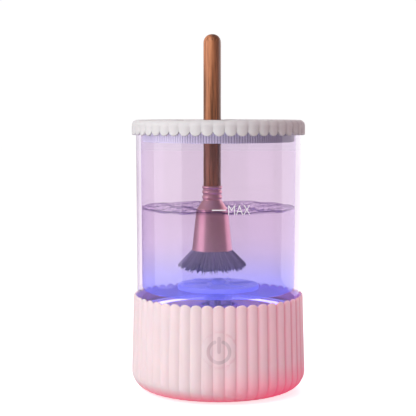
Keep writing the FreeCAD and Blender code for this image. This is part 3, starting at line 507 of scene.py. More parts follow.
def walnut(name):
    """Lacquered walnut: long streaks along the handle, darker pores and a thin clear coat."""
    material, tree = shader(name)
    streak = noise(tree, 260.0, 6.0, 0.6, (1.0, 1.0, 0.06))
    pores = noise(tree, 1500.0, 2.0, 0.5, (1.0, 1.0, 0.03))
    wood = ramped(tree, streak, ((0.36, (0.115, 0.041, 0.017)), (0.52, (0.39, 0.145, 0.062)),
                                 (0.66, (0.57, 0.240, 0.112))))
    tone = blended(tree, ranged(tree, pores, 0.30, 0.42, 0.0, 1.0), (0.10, 0.04, 0.02), wood)
    # Painted light and shade: the wood is lightened on the left of the handle and darkened on the right.
    side = between(tree, axis_share(tree, "X", -7 * MM, 1 * MM), 1.38, 0.44)
    principled(tree, {
        "Base Color": times(tree, tone, side),
        "Roughness": evened(tree, streak, 0.48, 0.36), "Specular IOR Level": 0.35,
        "Coat Weight": 0.25, "Coat Roughness": 0.15, "Normal": bumped(tree, pores, 0.1)})
    return material


def rose_metal(name):
    """Polished rose-gold metal with faint turned lines round it."""
    material, tree = shader(name)
    lines = noise(tree, 1200.0, 2.0, 0.5, (0.05, 0.05, 1.0))
    cloud = evened(tree, noise(tree, 150.0), 0.0, 1.0)
    principled(tree, {"Base Color": blended(tree, cloud, (0.74, 0.42, 0.435), (0.80, 0.47, 0.485)),
                      "Metallic": 0.9, "Roughness": evened(tree, lines, 0.33, 0.35)})
    return material


def filament(name):
    """Soft charcoal filaments, each of its own tone."""
    material, tree = shader(name)
    own = node(tree, "ShaderNodeNewGeometry").outputs["Random Per Island"]
    principled(tree, {"Base Color": blended(tree, own, (0.125, 0.115, 0.190), (0.360, 0.330, 0.510)),
                      "Roughness": 0.6})
    return material


def glowing(name, milk, colour, strength):
    """A milky plastic that carries light, a little unevenly: lamp light on the LED diffuser, a painted glow
    on the scrub disc.
    """
    material, tree = shader(name)
    cloud = evened(tree, noise(tree, 120.0, 2.0), 0.85 * strength, 1.15 * strength)
    principled(tree, {"Base Color": (*milk, 1.0), "Roughness": 0.5,
                      "Emission Color": (*colour, 1.0), "Emission Strength": cloud})
    return material


def brushed(name, colour, rough=0.3):
    """Plated or brushed metal with fine lines."""
    material, tree = shader(name)
    lines = noise(tree, 2500.0, 2.0, 0.5, (1.0, 1.0, 0.05))
    cloud = evened(tree, lines, 0.0, 1.0)
    principled(tree, {
        "Base Color": blended(tree, cloud, shade(colour, 0.9), shade(colour, 1.05)), "Metallic": 1.0,
        "Roughness": evened(tree, lines, rough, rough + 0.1), "Normal": bumped(tree, lines, 0.1)})
    return material


def circuit(name):
    """Solder mask with faint tracks under it."""
    material, tree = shader(name)
    grid = node(tree, "ShaderNodeTexVoronoi", {"Vector": place_texture(tree), "Scale": 700.0},
                feature="DISTANCE_TO_EDGE", distance="MANHATTAN").outputs["Distance"]
    track = ranged(tree, grid, 0.04, 0.07, 0.0, 1.0)
    principled(tree, {"Base Color": blended(tree, track, (0.08, 0.30, 0.16), (0.025, 0.15, 0.08)),
                      "Roughness": 0.35, "Normal": bumped(tree, track, 0.2)})
    return material


# Materials ----------

# PINK and GREY are the left-side colours; the right-side colours paint in the shade and pinker light of the
# right side.
PINK = (0.812, 0.672, 0.690)
PINK_PAINTED_RIGHT_LIGHT = (1.0, 0.585, 0.665)
# The pink of the painted glow at the base's lower edge.
PINK_PAINTED_GLOW = (0.90, 0.07, 0.19)
# Tints for the flute valleys: painted shade, none on the left and pink on the right.
PINK_VALLEY_SHADE = (WHITE, (0.86, 0.46, 0.56))
GREY = (0.635, 0.625, 0.63)
GREY_PAINTED_RIGHT_SHADE = (0.52, 0.475, 0.48)

# Where the painted left-to-right light and shade starts on the base and on the lid.
BASE_SIDE = -12 * MM
LID_SIDE = 6 * MM

# Fluted skins: each goes from its left colour to a painted, more shaded right colour, with painted shade in
# its valleys; the base also gets a painted pink glow at its lower edge, and the ring's light-to-dark pair
# and its crest light are painted too.
LOOKS = {
    "base_pink": fluted_skin("base_pink", (PINK, PINK_PAINTED_RIGHT_LIGHT), PINK_VALLEY_SHADE, 0.45,
                             (PINK_PAINTED_GLOW, low("base_shell").z), 0.15, BASE_SIDE),
    "button_pink": fluted_skin("button_pink", (PINK, PINK_PAINTED_RIGHT_LIGHT), PINK_VALLEY_SHADE, 0.45, None, 0.15, BASE_SIDE),
    "cup_clear": clear_shell("cup_clear", (0.911, 0.866, 0.920), (0.89, 0.84, 0.94)),
    "lid_silicone": fluted_skin("lid_silicone", (GREY, GREY_PAINTED_RIGHT_SHADE),
                                ((0.98, 0.98, 0.98), (0.82, 0.77, 0.80)), 0.62, None, 0.03, LID_SIDE),
    "ring_blue": fluted_skin("ring_blue", ((0.95, 0.97, 1.0), (0.22, 0.20, 0.28)),
                             ((0.45, 0.45, 0.60), (0.40, 0.36, 0.50)), 0.45, glow=(0.66, 0.78, 1.0)),
}
for slot_name, make_look, *traits in (
        ("icon_grey", moulded, (0.69, 0.51, 0.55), 0.45),
        ("cover_pink", moulded, (0.80, 0.42, 0.50), 0.6, 5000.0, 0.15),
        ("diffuser_white", glowing, (0.80, 0.84, 0.98), (0.26, 0.28, 1.0), 3.5),
        ("silicone_white", moulded, (0.74, 0.71, 0.73), 0.65),
        ("board_green", circuit),
        ("led_yellow", moulded, (0.85, 0.78, 0.40), 0.25),
        ("steel", brushed, (0.62, 0.62, 0.63)),
        ("motor_steel", brushed, (0.55, 0.56, 0.57), 0.35),
        ("nylon_black", moulded, (0.03, 0.03, 0.035), 0.45),
        ("bronze", brushed, (0.55, 0.36, 0.18), 0.4),
        ("magnet", moulded, (0.06, 0.06, 0.065), 0.55, 9000.0, 0.05, 0.0, 0.4),
        ("copper", brushed, (0.72, 0.33, 0.18), 0.25),
        ("nylon_white", moulded, (0.80, 0.79, 0.76), 0.4),
        ("bracket_grey", moulded, (0.28, 0.29, 0.31), 0.5),
        ("battery_wrap", moulded, (0.06, 0.24, 0.42), 0.25, 9000.0, 0.05, 0.4),
        ("chip_black", moulded, (0.02, 0.02, 0.022), 0.4),
        ("lead_red", moulded, (0.45, 0.02, 0.02), 0.4),
        # The disc is no lamp: its emission is a painted glow.
        ("disc_lilac", glowing, (0.30, 0.32, 0.80), (0.30, 0.33, 1.0), 0.42),
        ("walnut", walnut), ("rose_metal", rose_metal), ("bristle_grey", filament)):
    LOOKS[slot_name] = make_look(slot_name, *traits)


def dress_cad_nodes():
    """Every carried-over CAD node takes the material of its slot in the record."""
    slots = {row["node"]: row["material_slot"] for row in frame["record"]["subparts"]}
    for name, item in frame["nodes"].items():
        for holder in item.material_slots:
            holder.material = LOOKS[slots[name]]


# Base ---------------

FLUTE_DEPTH = 0.7 * MM
FLUTE_FADE = 0.3 * MM
SCALLOP = 1.5 * MM
BASE_ROUND = 10 * MM
RIM_TAPER = 1.2 * MM
WALL_INSIDE = 44.3 * MM
SCALLOP_FADE = 4.5 * MM
RIM_ROUND = 0.6 * MM
WELL_ROUND = 0.4 * MM
EDGE_BREAK = 0.3 * MM
COVER_GAP = 0.2 * MM
COVER_THICK = 2.4 * MM
ROOM_LOW_R = 39.4 * MM
ROOM_R = 43 * MM
ROOM_STEP = 5.1 * MM
DECK_THICK = 2.5 * MM
DECK_HOLE_R = 9 * MM
COLLAR_R = 10.6 * MM
COLLAR_RISE = 2.4 * MM
GROOVE_WIDTH = 6 * MM
PORT_GAP = 0.2 * MM
PORT_DEPTH = 5 * MM
BUTTON_GAP = 0.03 * MM
BUTTON_HOLE = 6.5 * MM
BUTTON_LIP = 1 * MM
BUTTON_WALL = 1.4 * MM
ICON_LINE = 1.7 * MM
ICON_HALF_GAP = 2.1 * MM
ICON_PROUD = 0.1 * MM
OVERRUN = 2 * MM


def edge_weight(z, edge, fade):
    """1 at a scalloped edge, falling to 0 at fade away from it."""
    return eased(max(0.0, 1.0 - abs(z - edge) / fade))


def base_outer_rows(proud=0.0):
    """Rows of the base's outside, from the rim down to the flat underside."""
    wide = reach("base_shell") + proud
    rim_r = wide - RIM_TAPER
    rim = high("base_shell").z
    bottom = low("base_shell").z - proud
    edge = rim - RIM_ROUND
    knee = bottom + BASE_ROUND
    rows = [(r, z, FLUTE_DEPTH, -SCALLOP) for r, z in arc(rim_r - RIM_ROUND, edge, RIM_ROUND, 90, 0, 5)]
    for step in range(1, 17):
        z = edge + (knee - edge) * (step / 16) ** 1.6
        r = rim_r + (wide - rim_r) * (rim - z) / (rim - knee)
        rows.append((r, z, FLUTE_DEPTH, -SCALLOP * edge_weight(z, edge, SCALLOP_FADE)))
    for step, (r, z) in enumerate(arc(wide - BASE_ROUND, knee, BASE_ROUND, 0, -90, 12)[1:], 1):
        rows.append((r, z, FLUTE_DEPTH + (FLUTE_FADE - FLUTE_DEPTH) * step / 12, 0.0))
    return rows


def base_inner_rows():
    """Rows of the base's hollow side: underside, room, deck, collar, groove and the cup's well."""
    bottom = low("base_shell").z
    mouth = reach("bottom_cover") + COVER_GAP
    cover_top = bottom + COVER_THICK
    deck = low("seat_ring").z
    under = deck - DECK_THICK
    groove_low = low("light_diffuser").z
    groove_out = reach("light_diffuser")
    groove_in = groove_out - GROOVE_WIDTH
    collar_top = deck + COLLAR_RISE
    rim = high("base_shell").z
    corners = [(mouth + 1.2 * MM, bottom), (mouth, bottom + 0.2 * MM), (mouth, cover_top),
               (ROOM_LOW_R, cover_top), (ROOM_R, cover_top + ROOM_STEP), (ROOM_R, under),
               (DECK_HOLE_R, under), (DECK_HOLE_R, collar_top - EDGE_BREAK),
               (DECK_HOLE_R + EDGE_BREAK, collar_top), (COLLAR_R - EDGE_BREAK, collar_top),
               (COLLAR_R, collar_top - EDGE_BREAK), (COLLAR_R, deck), (groove_in, deck),
               (groove_in, groove_low), (groove_out, groove_low), (groove_out, deck),
               (WALL_INSIDE - WELL_ROUND, deck), (WALL_INSIDE, deck + WELL_ROUND)]
    rows = [(r, z, 0.0, 0.0) for r, z in corners]
    for z in np.linspace(rim - SCALLOP_FADE, rim - WELL_ROUND, 6):
        rows.append((WALL_INSIDE, z, 0.0, -SCALLOP * edge_weight(z, rim - WELL_ROUND, SCALLOP_FADE)))
    rows.append((WALL_INSIDE + 0.12 * MM, rim - 0.12 * MM, 0.0, -SCALLOP))
    rows.append((WALL_INSIDE + WELL_ROUND, rim, 0.15 * MM, -SCALLOP))
    return rows


def rod_along_y(radius, x, z, front, back, segments=96):
    return cylinder_mesh(radius, (x, front, z), (x, back, z), segments)


def button_plug(radius, front, back):
    """A cylinder along Y on the power button's axis."""
    spot = middle("power_button")
    return rod_along_y(radius, spot.x, spot.z, front, back)


def port_plug(grow, front, back):
    """A slot form along Y, on the charging socket's axis."""
    spot = middle("usb_socket")
    size = high("usb_socket") - low("usb_socket")
    radius = size.z / 2 + grow
    half = (size.x - size.z) / 2
    ring = arc(half, 0.0, radius, 90, -90, 24) + arc(-half, 0.0, radius, 270, 90, 24)
    rings = [np.array([(spot.x + x, y, spot.z + z) for x, z in ring]) for y in (front, back)]
    return rings_mesh(rings, loop=False, caps=True)


def make_base():
    skin = fluted(base_outer_rows() + base_inner_rows())
    wide = reach("base_shell")
    holes = [button_plug(reach("power_button") - BUTTON_LIP + BUTTON_GAP, -wide - OVERRUN,
                         -wide + BUTTON_HOLE),
             port_plug(PORT_GAP, wide - PORT_DEPTH, wide + OVERRUN)]
    mesh = combine(skin, holes, "DIFFERENCE")
    piece = new_piece("base_skin", mesh, "base", "base_pink")
    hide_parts("base_shell")


def solid_skin(proud=0.0):
    """The base's outer form as a closed solid."""
    return fluted(base_outer_rows(proud), loop=False, caps=True)


def make_button():
    """The round cap, cut from the base's own flutes, hollow behind, and its printed symbol."""
    wide = reach("base_shell")
    front, rear = -wide - OVERRUN, -wide + OVERRUN
    back = high("power_button").y
    radius = reach("power_button") - BUTTON_LIP
    face = combine(solid_skin(), [button_plug(radius, front, back)], "INTERSECT")
    lip = button_plug(reach("power_button"), back - BUTTON_LIP, back)
    pocket = button_plug(radius - BUTTON_WALL, rear, back + MM)
    mesh = combine(combine(face, [lip], "UNION"), [pocket], "DIFFERENCE")
    piece = new_piece("button_cap", mesh, "button", "button_pink")
    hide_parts("power_button")
    spot = middle("power_icon")
    outer = reach("power_icon")
    centre = low("power_icon").z + outer
    disc = rod_along_y(outer, spot.x, centre, front, rear)
    core = rod_along_y(outer - ICON_LINE, spot.x, centre, front - MM, rear + MM)
    gap = box_mesh((spot.x - ICON_HALF_GAP, front - MM, centre),
                   (spot.x + ICON_HALF_GAP, rear + MM, centre + outer + MM))
    broken = combine(disc, [core, gap], "DIFFERENCE")
    tall = math.sqrt((outer - ICON_LINE / 2) ** 2 - ICON_HALF_GAP ** 2)
    top = high("power_icon").z - ICON_LINE / 2
    ends = [rod_along_y(ICON_LINE / 2, spot.x + x, z, front, rear, 24)
            for x, z in ((-ICON_HALF_GAP, centre + tall), (ICON_HALF_GAP, centre + tall),
                         (0.0, top), (0.0, centre))]
    bar = box_mesh((spot.x - ICON_LINE / 2, front, centre), (spot.x + ICON_LINE / 2, rear, top))
    sign = combine(broken, [bar] + ends, "UNION")
    sign = combine(sign, [solid_skin(ICON_PROUD)], "INTERSECT")
    sign = combine(sign, [solid_skin(-ICON_PROUD)], "DIFFERENCE")
    icon = new_piece("button_symbol", sign, "button", "icon_grey")
    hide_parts("power_icon")


# Cup and water ------

CUP_WALL = 2.6 * MM
CUP_TAPER = 0.4 * MM
WATER_TOP = 98.5 * MM
FLOOR_THICK = 3 * MM
NECK = 5.5 * MM
BUSH = 3.6 * MM
SKIRT = 3.2 * MM
TURN_STEPS = 192
WATER_GAP = 0.1 * MM
WATER_CREEP = 0.9 * MM
MARK_LIFT = 2.3 * MM
WORD_SIZE = 7.4 * MM
WORD_LONG = 11.5 * MM
WORD_START = 4.7 * MM
LINE_LONG = 7.2 * MM
LINE_START = -3.6 * MM
LINE_HALF = 0.25 * MM
INK_HALF = 0.04 * MM


def cup_floor():
    return low("shaft_bush").z + FLOOR_THICK


def make_cup():
    bottom, top = low("cup").z, high("cup").z
    outer = reach("cup")
    under = low("shaft_bush").z
    floor = cup_floor()
    neck_top = high("shaft_seal").z
    outline = soften([(outer - SKIRT, bottom, 0.3 * MM), (outer - CUP_TAPER, bottom, 0.9 * MM),
                      (outer, top, 1.1 * MM), (outer - CUP_WALL, top, 1.1 * MM),
                      (outer - CUP_TAPER - CUP_WALL, floor, 2.5 * MM), (NECK, floor, 0.5 * MM),
                      (NECK, neck_top, 0.3 * MM), (BUSH, neck_top, 0.0), (BUSH, under, 0.0),
                      (outer - SKIRT, under, 0.6 * MM)])
    mesh = lathe(outline, TURN_STEPS)
    middle_r = outer - CUP_TAPER - CUP_WALL / 2
    paint(mesh, "outside", [math.hypot(v.co.x, v.co.y) > middle_r for v in mesh.vertices])
    piece = new_piece("cup_clear_shell", mesh, "cup", "cup_clear", 40.0)
    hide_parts("cup")


def ripple(x, y):
    """Height of the water's surface over its level."""
    waves = ((0.55, 230.0, 0.5, 0.3), (0.42, 390.0, 1.9, 2.1), (0.30, 610.0, 3.3, 4.0),
             (0.20, 980.0, 5.1, 1.2), (0.12, 1500.0, 0.9, 5.2))
    total = 0.0
    for size, rate, heading, start in waves:
        total += size * math.sin(rate * (x * math.cos(heading) + y * math.sin(heading)) + start)
    return total * MM


def make_water():
    """The water that fills the cup up to its mark, with a rippled top and a raised edge at the wall."""
    floor = cup_floor() + WATER_GAP
    inner = reach("cup") - CUP_TAPER - CUP_WALL - WATER_GAP
    angles = FRONT + 2 * math.pi * np.arange(TURN_STEPS) / TURN_STEPS
    across, along = np.cos(angles), np.sin(angles)
    outline = [(NECK + 0.6 * MM, floor), (inner - 2.5 * MM, floor), (inner - 0.8 * MM, floor + 0.7 * MM),
               (inner, floor + 2.5 * MM), (inner, 0.5 * (floor + WATER_TOP)), (inner, WATER_TOP - 0.8 * MM)]
    rings = [np.column_stack([r * across, r * along, np.full(TURN_STEPS, z)]) for r, z in outline]
    sides = len(rings)
    for r in [inner] + list(np.linspace(inner - 0.7 * MM, 0.5 * MM, 60)):
        calm = min(1.0, 0.3 + (inner - r) / (4 * MM))
        swell = WATER_CREEP * math.exp((r - inner) / (1.2 * MM))
        level = [WATER_TOP + swell + calm * ripple(r * x, r * y) for x, y in zip(across, along)]
        rings.append(np.column_stack([r * across, r * along, level]))
    mesh = rings_mesh(rings, loop=False, caps=True)
    row = np.repeat(np.arange(len(rings)), TURN_STEPS)
    # Strength of the painted dark line round the water's edge, strongest at the front.
    line = np.tile(0.65 - 0.35 * along, len(rings))
    paint(mesh, "top", row > sides)
    paint(mesh, "rim", (row == sides) * line)
    new_piece("water", mesh, "cup", "cup_clear", 60.0, water_body("water", floor, WATER_TOP))


def make_fill_mark():
    """The line and the word MAX, printed on the outside of the cup."""
    outer = reach("cup") - 0.15 * MM
    level = WATER_TOP + MARK_LIFT
    ink = moulded("mark_white", (0.95, 0.95, 0.97), 0.5)
    curve = bpy.data.curves.new("mark_word", "FONT")
    curve.body = "MAX"
    curve.size = WORD_SIZE
    curve.offset = -0.1 * MM
    curve.extrude = INK_HALF
    curve.resolution_u = 6
    holder = show(bpy.data.objects.new("mark_word", curve))
    word = settled(holder)
    bpy.data.objects.remove(holder)
    bpy.data.curves.remove(curve)
    spots = np.array([v.co for v in word.vertices])
    spots[:, 0] *= WORD_LONG / np.ptp(spots[:, 0])
    spots[:, 0] += WORD_START - spots[:, 0].min()
    spots[:, 1] += level - 0.5 * (spots[:, 1].min() + spots[:, 1].max())
    for vertex, spot in zip(word.vertices, spots):
        vertex.co = spot
    bar = rings_mesh([np.array([(x, level + dy, dz) for dy, dz in
                                ((-LINE_HALF, -INK_HALF), (LINE_HALF, -INK_HALF),
                                 (LINE_HALF, INK_HALF), (-LINE_HALF, INK_HALF))])
                      for x in np.linspace(LINE_START, LINE_START + LINE_LONG, 13)],
                     loop=False, caps=True)
    mesh = joined([word, bar])
    for vertex in mesh.vertices:
        x, z, out = vertex.co
        angle = FRONT + x / outer
        radius = outer + out
        vertex.co = (radius * math.cos(angle), radius * math.sin(angle), z)
    new_piece("fill_mark", mesh, "cup", "cup_clear", material=ink)


# Scrub disc ---------

DISC_WELL = 6.4 * MM
DISC_SKIN = 1.2 * MM
RIDGES = 6
RIDGE_RISE = 1.0 * MM
RIDGE_START = 6 * MM
RIDGE_LONG = 13.5 * MM
RIDGE_CURL = 0.25
RIDGE_HALF = 1.1 * MM
RIDGE_SINK = 0.2 * MM


def make_disc():
    """The turning disc: a rounded puck with curved ridges."""
    bottom, top = low("scrub_disc").z, high("scrub_disc").z
    outer = reach("scrub_disc")
    face = top - RIDGE_RISE
    ceiling = bottom + DISC_SKIN
    shaft = reach("impeller_shaft")
    outline = soften([(DISC_WELL, bottom, 0.3 * MM), (outer, bottom, 0.5 * MM), (outer, face, 0.8 * MM),
                      (shaft, face, 0.0), (shaft, ceiling, 0.0), (DISC_WELL, ceiling, 0.2 * MM)])
    meshes = [lathe(outline)]
    for i in range(RIDGES):
        points = []
        for share in np.linspace(0.0, 1.0, 15):
            r = RIDGE_START + RIDGE_LONG * share
            bend = 2 * math.pi * i / RIDGES + RIDGE_CURL * share * share
            points.append((r * math.cos(bend), r * math.sin(bend), bend))
        meshes.append(ridge(points, face - RIDGE_SINK, top, RIDGE_HALF))
    piece = new_piece("disc_puck", joined(meshes), "impeller", "disc_lilac")
    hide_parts("scrub_disc")


def ridge(points, bottom, top, half):
    """A rounded rib along points of (x, y, heading)."""
    rings = []
    last = len(points) - 1
    for index, (x, y, heading) in enumerate(points):
        end = min(index, last - index) / 2
        swell = math.sqrt(1 - (1 - min(1.0, end + 0.15)) ** 2)
        side = (-math.sin(heading), math.cos(heading))
        ring = [(x - side[0] * half * swell, y - side[1] * half * swell, bottom)]
        for step in range(7):
            angle = math.pi * step / 6
            across = -half * swell * math.cos(angle)
            ring.append((x + side[0] * across, y + side[1] * across,
                         bottom + RIDGE_SINK + (top - bottom - RIDGE_SINK) * swell * math.sin(angle)))
        ring.append((x + side[0] * half * swell, y + side[1] * half * swell, bottom))
        rings.append(np.array(ring))
    return rings_mesh(rings, loop=False, caps=True)


# Lid ----------------

LID_SCALLOP = 2.2 * MM
LID_ROUND = 3 * MM
LID_SKIRT = 44.75 * MM
LID_DISH = 0.7 * MM
LID_DISH_R = 41 * MM
LID_FLUTE_TOP = 0.1 * MM
LID_FLUTE_SIDE = 0.45 * MM
LID_TIP_ROUND = 0.55 * MM
HOLE_RINGS = ((8.5 * MM, -113.0, 4.75 * MM), (26 * MM, 67.0, 6.2 * MM), (26 * MM, 7.0, 3.4 * MM))
HOLE_COLLAR = 1.4 * MM
HOLE_ROUND = 0.35 * MM
PLUG_INSIDE = 38 * MM
PLUG_RIBS = 180
PLUG_RIB = 0.35 * MM
PLUG_SINK = 0.02 * MM


def lid_holes():
    """Each hole of the lid as (x, y, radius), three to a ring."""
    holes = []
    for ring_r, first, radius in HOLE_RINGS:
        for i in range(3):
            angle = math.radians(first + 120 * i)
            holes.append((ring_r * math.cos(angle), ring_r * math.sin(angle), radius))
    return holes


def lid_rows():
    """Rows from the dish of the top, over the edge, down the skirt and back under the plate."""
    wide = reach("lid_cap")
    top, tip = high("lid_cap").z, low("lid_cap").z
    under = high("cup").z
    shoulder = top - LID_ROUND
    floor = top - LID_DISH
    rows = [(LID_DISH_R - 0.3 * MM, floor, 0.0, 0.0), (LID_DISH_R - 0.05 * MM, floor + 0.1 * MM, 0.0, 0.0),
            (LID_DISH_R + 0.1 * MM, top - 0.2 * MM, 0.0, 0.0), (LID_DISH_R + 0.35 * MM, top, 0.0, 0.0)]
    for step, (r, z) in enumerate(arc(wide - LID_ROUND, shoulder, LID_ROUND, 90, 0, 8)):
        rows.append((r, z, LID_FLUTE_TOP + (LID_FLUTE_SIDE - LID_FLUTE_TOP) * step / 8, 0.0))
    edge = tip + LID_TIP_ROUND
    for step in range(1, 8):
        z = shoulder + (edge - shoulder) * step / 7
        depth = LID_FLUTE_SIDE + (FLUTE_DEPTH - LID_FLUTE_SIDE) * min(1.0, step / 4)
        rows.append((wide, z, depth, LID_SCALLOP * edge_weight(z, edge, SCALLOP_FADE)))
    rows += [(r, z, FLUTE_DEPTH, LID_SCALLOP)
             for r, z in arc(wide - LID_TIP_ROUND, edge, LID_TIP_ROUND, 0, -90, 5)[1:]]
    rows.append((LID_SKIRT + EDGE_BREAK, tip, LID_FLUTE_TOP, LID_SCALLOP))
    rows.append((LID_SKIRT, tip + EDGE_BREAK, 0.0, LID_SCALLOP))
    for z in np.linspace(tip + MM, under - 0.4 * MM, 5):
        rows.append((LID_SKIRT, z, 0.0, LID_SCALLOP * edge_weight(z, tip + EDGE_BREAK, SCALLOP_FADE)))
    rows.append((LID_SKIRT - 0.4 * MM, under, 0.0, 0.0))
    rows.append((LID_DISH_R, under, 0.0, 0.0))
    return rows


def make_lid():
    top, under = high("lid_cap").z, high("cup").z
    body = fluted(lid_rows(), loop=False, caps=True)
    collars, drills = [], []
    for x, y, radius in lid_holes():
        lip = radius + HOLE_COLLAR
        outline = [(lip, under + 0.5 * MM)] + arc(lip - HOLE_ROUND, top - HOLE_ROUND, HOLE_ROUND, 0, 90, 4)
        collars.append(lathe(outline, 64, (x, y), loop=False, caps=True))
        drills.append(cylinder_mesh(radius, (x, y, under - MM), (x, y, top + MM), 64))
    mesh = combine(combine(body, collars, "UNION"), drills, "DIFFERENCE")
    piece = new_piece("lid_soft_cap", mesh, "lid", "lid_silicone")
    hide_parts("lid_cap")
    bottom, outer = low("lid_ring").z, reach("lid_ring")
    rows = [(PLUG_INSIDE, under - PLUG_SINK, 0.0, 0.0), (PLUG_INSIDE, bottom + EDGE_BREAK, 0.0, 0.0),
            (PLUG_INSIDE + EDGE_BREAK, bottom, 0.0, 0.0), (outer - 0.5 * MM, bottom, 0.02 * MM, 0.0),
            (outer - 0.1 * MM, bottom + 0.3 * MM, PLUG_RIB, 0.0), (outer, bottom + 0.6 * MM, PLUG_RIB, 0.0),
            (outer, under - PLUG_SINK, PLUG_RIB, 0.0)]
    plug = new_piece("lid_ribbed_plug", fluted(rows, PLUG_RIBS, 6), "lid", "ring_blue", 50.0)
    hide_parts("lid_ring")


# Brush --------------

HANDLE_DOME = 4.6 * MM
FERRULE_WALL = 0.5 * MM
NECK_LONG = 9.0 * MM
CRIMP_DROPS = (1.9 * MM, 4.6 * MM, 7.4 * MM)
CRIMP_DEPTH = 0.45 * MM
CRIMP_RIDGE = 0.2 * MM
RIDGE_OFFSET = 1.35 * MM
SHOULDER_DROP = 6.6 * MM
CONE_DROP = 14.2 * MM
CONE_INSET = 2.2 * MM
GOLDEN_TURN = 2.399963
SHORT_LOCKS = 560
LONG_LOCKS = 96
LOCK_HAIRS = 8
LOCK_R = 0.42 * MM
HAIR_R = 0.17 * MM
HAIR_TAPER = 0.65
TIP_RISE = 2.9 * MM


def brush_axis():
    spot = middle("brush_handle")
    return spot.x, spot.y


def make_handle():
    bottom, top = low("brush_handle").z, high("brush_handle").z
    r = reach("brush_handle")
    outline = [(0.5 * MM, bottom), (r - 0.3 * MM, bottom), (r, bottom + 0.3 * MM)]
    outline += [(r, z) for z in np.linspace(bottom + 6 * MM, top - HANDLE_DOME, 12)]
    for step in range(1, 12):
        angle = math.pi / 2 * step / 12
        outline.append((r * math.cos(angle) ** 0.9, top - HANDLE_DOME + HANDLE_DOME * math.sin(angle)))
    outline.append((0.05 * MM, top))
    mesh = lathe(outline, 64, brush_axis(), loop=False, caps=True)
    piece = new_piece("brush_wood", mesh, "brush", "walnut")
    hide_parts("brush_handle")


def make_ferrule():
    bottom, top = low("brush_ferrule").z, high("brush_ferrule").z
    mouth = reach("brush_ferrule")
    neck = reach("brush_handle") + FERRULE_WALL

    def radius(z):
        return ferrule_radius(z, top, bottom, neck, mouth)

    outline = []
    for z in np.linspace(top - 0.2 * MM, top - NECK_LONG, 60):
        groove = sum(math.exp(-((z - top + c) / (0.5 * MM)) ** 2) for c in CRIMP_DROPS)
        ridge_up = sum(math.exp(-((z - top + c - RIDGE_OFFSET) / (0.7 * MM)) ** 2) for c in CRIMP_DROPS)
        outline.append((radius(z) + CRIMP_RIDGE * ridge_up - CRIMP_DEPTH * min(1.0, groove), z))
    outline += [(radius(z), z) for z in np.linspace(top - NECK_LONG - 0.5 * MM, bottom + 0.5 * MM, 40)]
    outline += [(mouth, bottom + 0.35 * MM), (mouth - 0.15 * MM, bottom), (mouth - FERRULE_WALL, bottom)]
    outline += [(radius(z) - FERRULE_WALL - 0.1 * MM, z)
                for z in np.linspace(bottom + 2 * MM, top - NECK_LONG, 10)]
    outline += [(neck - FERRULE_WALL, top - 6.5 * MM), (neck - FERRULE_WALL, top), (neck - 0.15 * MM, top)]
    mesh = lathe(outline, 96, brush_axis())
    piece = new_piece("brush_metal", mesh, "brush", "rose_metal", 50.0)
    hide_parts("brush_ferrule")


def ferrule_radius(z, top, bottom, neck, mouth):
    """The ferrule's outer radius: a straight neck that swells smoothly into a cone."""
    shoulder, cone = top - SHOULDER_DROP, top - CONE_DROP
    cone_r = mouth - CONE_INSET
    if z <= cone:
        return mouth + (cone_r - mouth) * (z - bottom) / (cone - bottom)
    share = min(1.0, max(0.0, (shoulder - z) / (shoulder - cone)))
    return neck + (cone_r - neck) * eased(share)


def make_bristles():
    """The tuft: a dark core in tapered locks of filaments that fan out straight and end in points."""
    axis_x, axis_y = brush_axis()
    bottom = low("brush_bristles").z
    mouth_z = low("brush_ferrule").z
    mouth = reach("brush_ferrule") - 1.2 * MM
    spread = reach("brush_bristles")
    root_z = mouth_z + 1.5 * MM
    core = [(mouth * 0.9, mouth_z + 4 * MM), (mouth * 0.98, mouth_z),
            (spread * 0.78, bottom + TIP_RISE + 4 * MM), (spread * 0.6, bottom + 5 * MM),
            (spread * 0.3, bottom + 4.2 * MM), (0.5 * MM, bottom + 4 * MM)]
    meshes = [lathe(core, 48, (axis_x, axis_y), loop=False, caps=True)]
    random.seed(45)
    points, faces = [], []
    for index in range(SHORT_LOCKS + LONG_LOCKS):
        if index < SHORT_LOCKS:
            rho = math.sqrt((index + 0.5) / SHORT_LOCKS) if index % 3 else random.uniform(0.96, 1.0)
            phi = GOLDEN_TURN * index
            short = random.uniform(0.55, 0.85)
        else:
            rho = math.sqrt(random.uniform(0.4, 1.0))
            phi = 2 * math.pi * (index + random.uniform(-0.4, 0.4)) / LONG_LOCKS
            short = random.uniform(0.0, 0.42)
        tip_r = rho * (spread + 0.7 * MM - short * 0.8 * MM)
        tip_z = bottom + TIP_RISE * rho ** 3 + short * 2.6 * MM
        for hair in range(LOCK_HAIRS):
            turn = GOLDEN_TURN * hair
            away = LOCK_R * math.sqrt((hair + 0.5) / LOCK_HAIRS)
            rows = []
            for share, swell in ((0.0, 1.0), (0.45, 1.25), (0.85, 0.9), (1.0, 0.15)):
                r = rho * mouth + (tip_r - rho * mouth) * share
                x = axis_x + r * math.cos(phi) + away * swell * math.cos(turn)
                y = axis_y + r * math.sin(phi) + away * swell * math.sin(turn)
                fall = share * (1.0 - 0.03 * (hair % 3) * share)
                rows.append((x, y, root_z + (tip_z - root_z) * fall))
            add_filament(points, faces, rows, phi)
    meshes.append(outward(mesh_from(points, faces)))
    piece = new_piece("brush_tuft", joined(meshes), "brush", "bristle_grey", 60.0)
    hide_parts("brush_bristles")


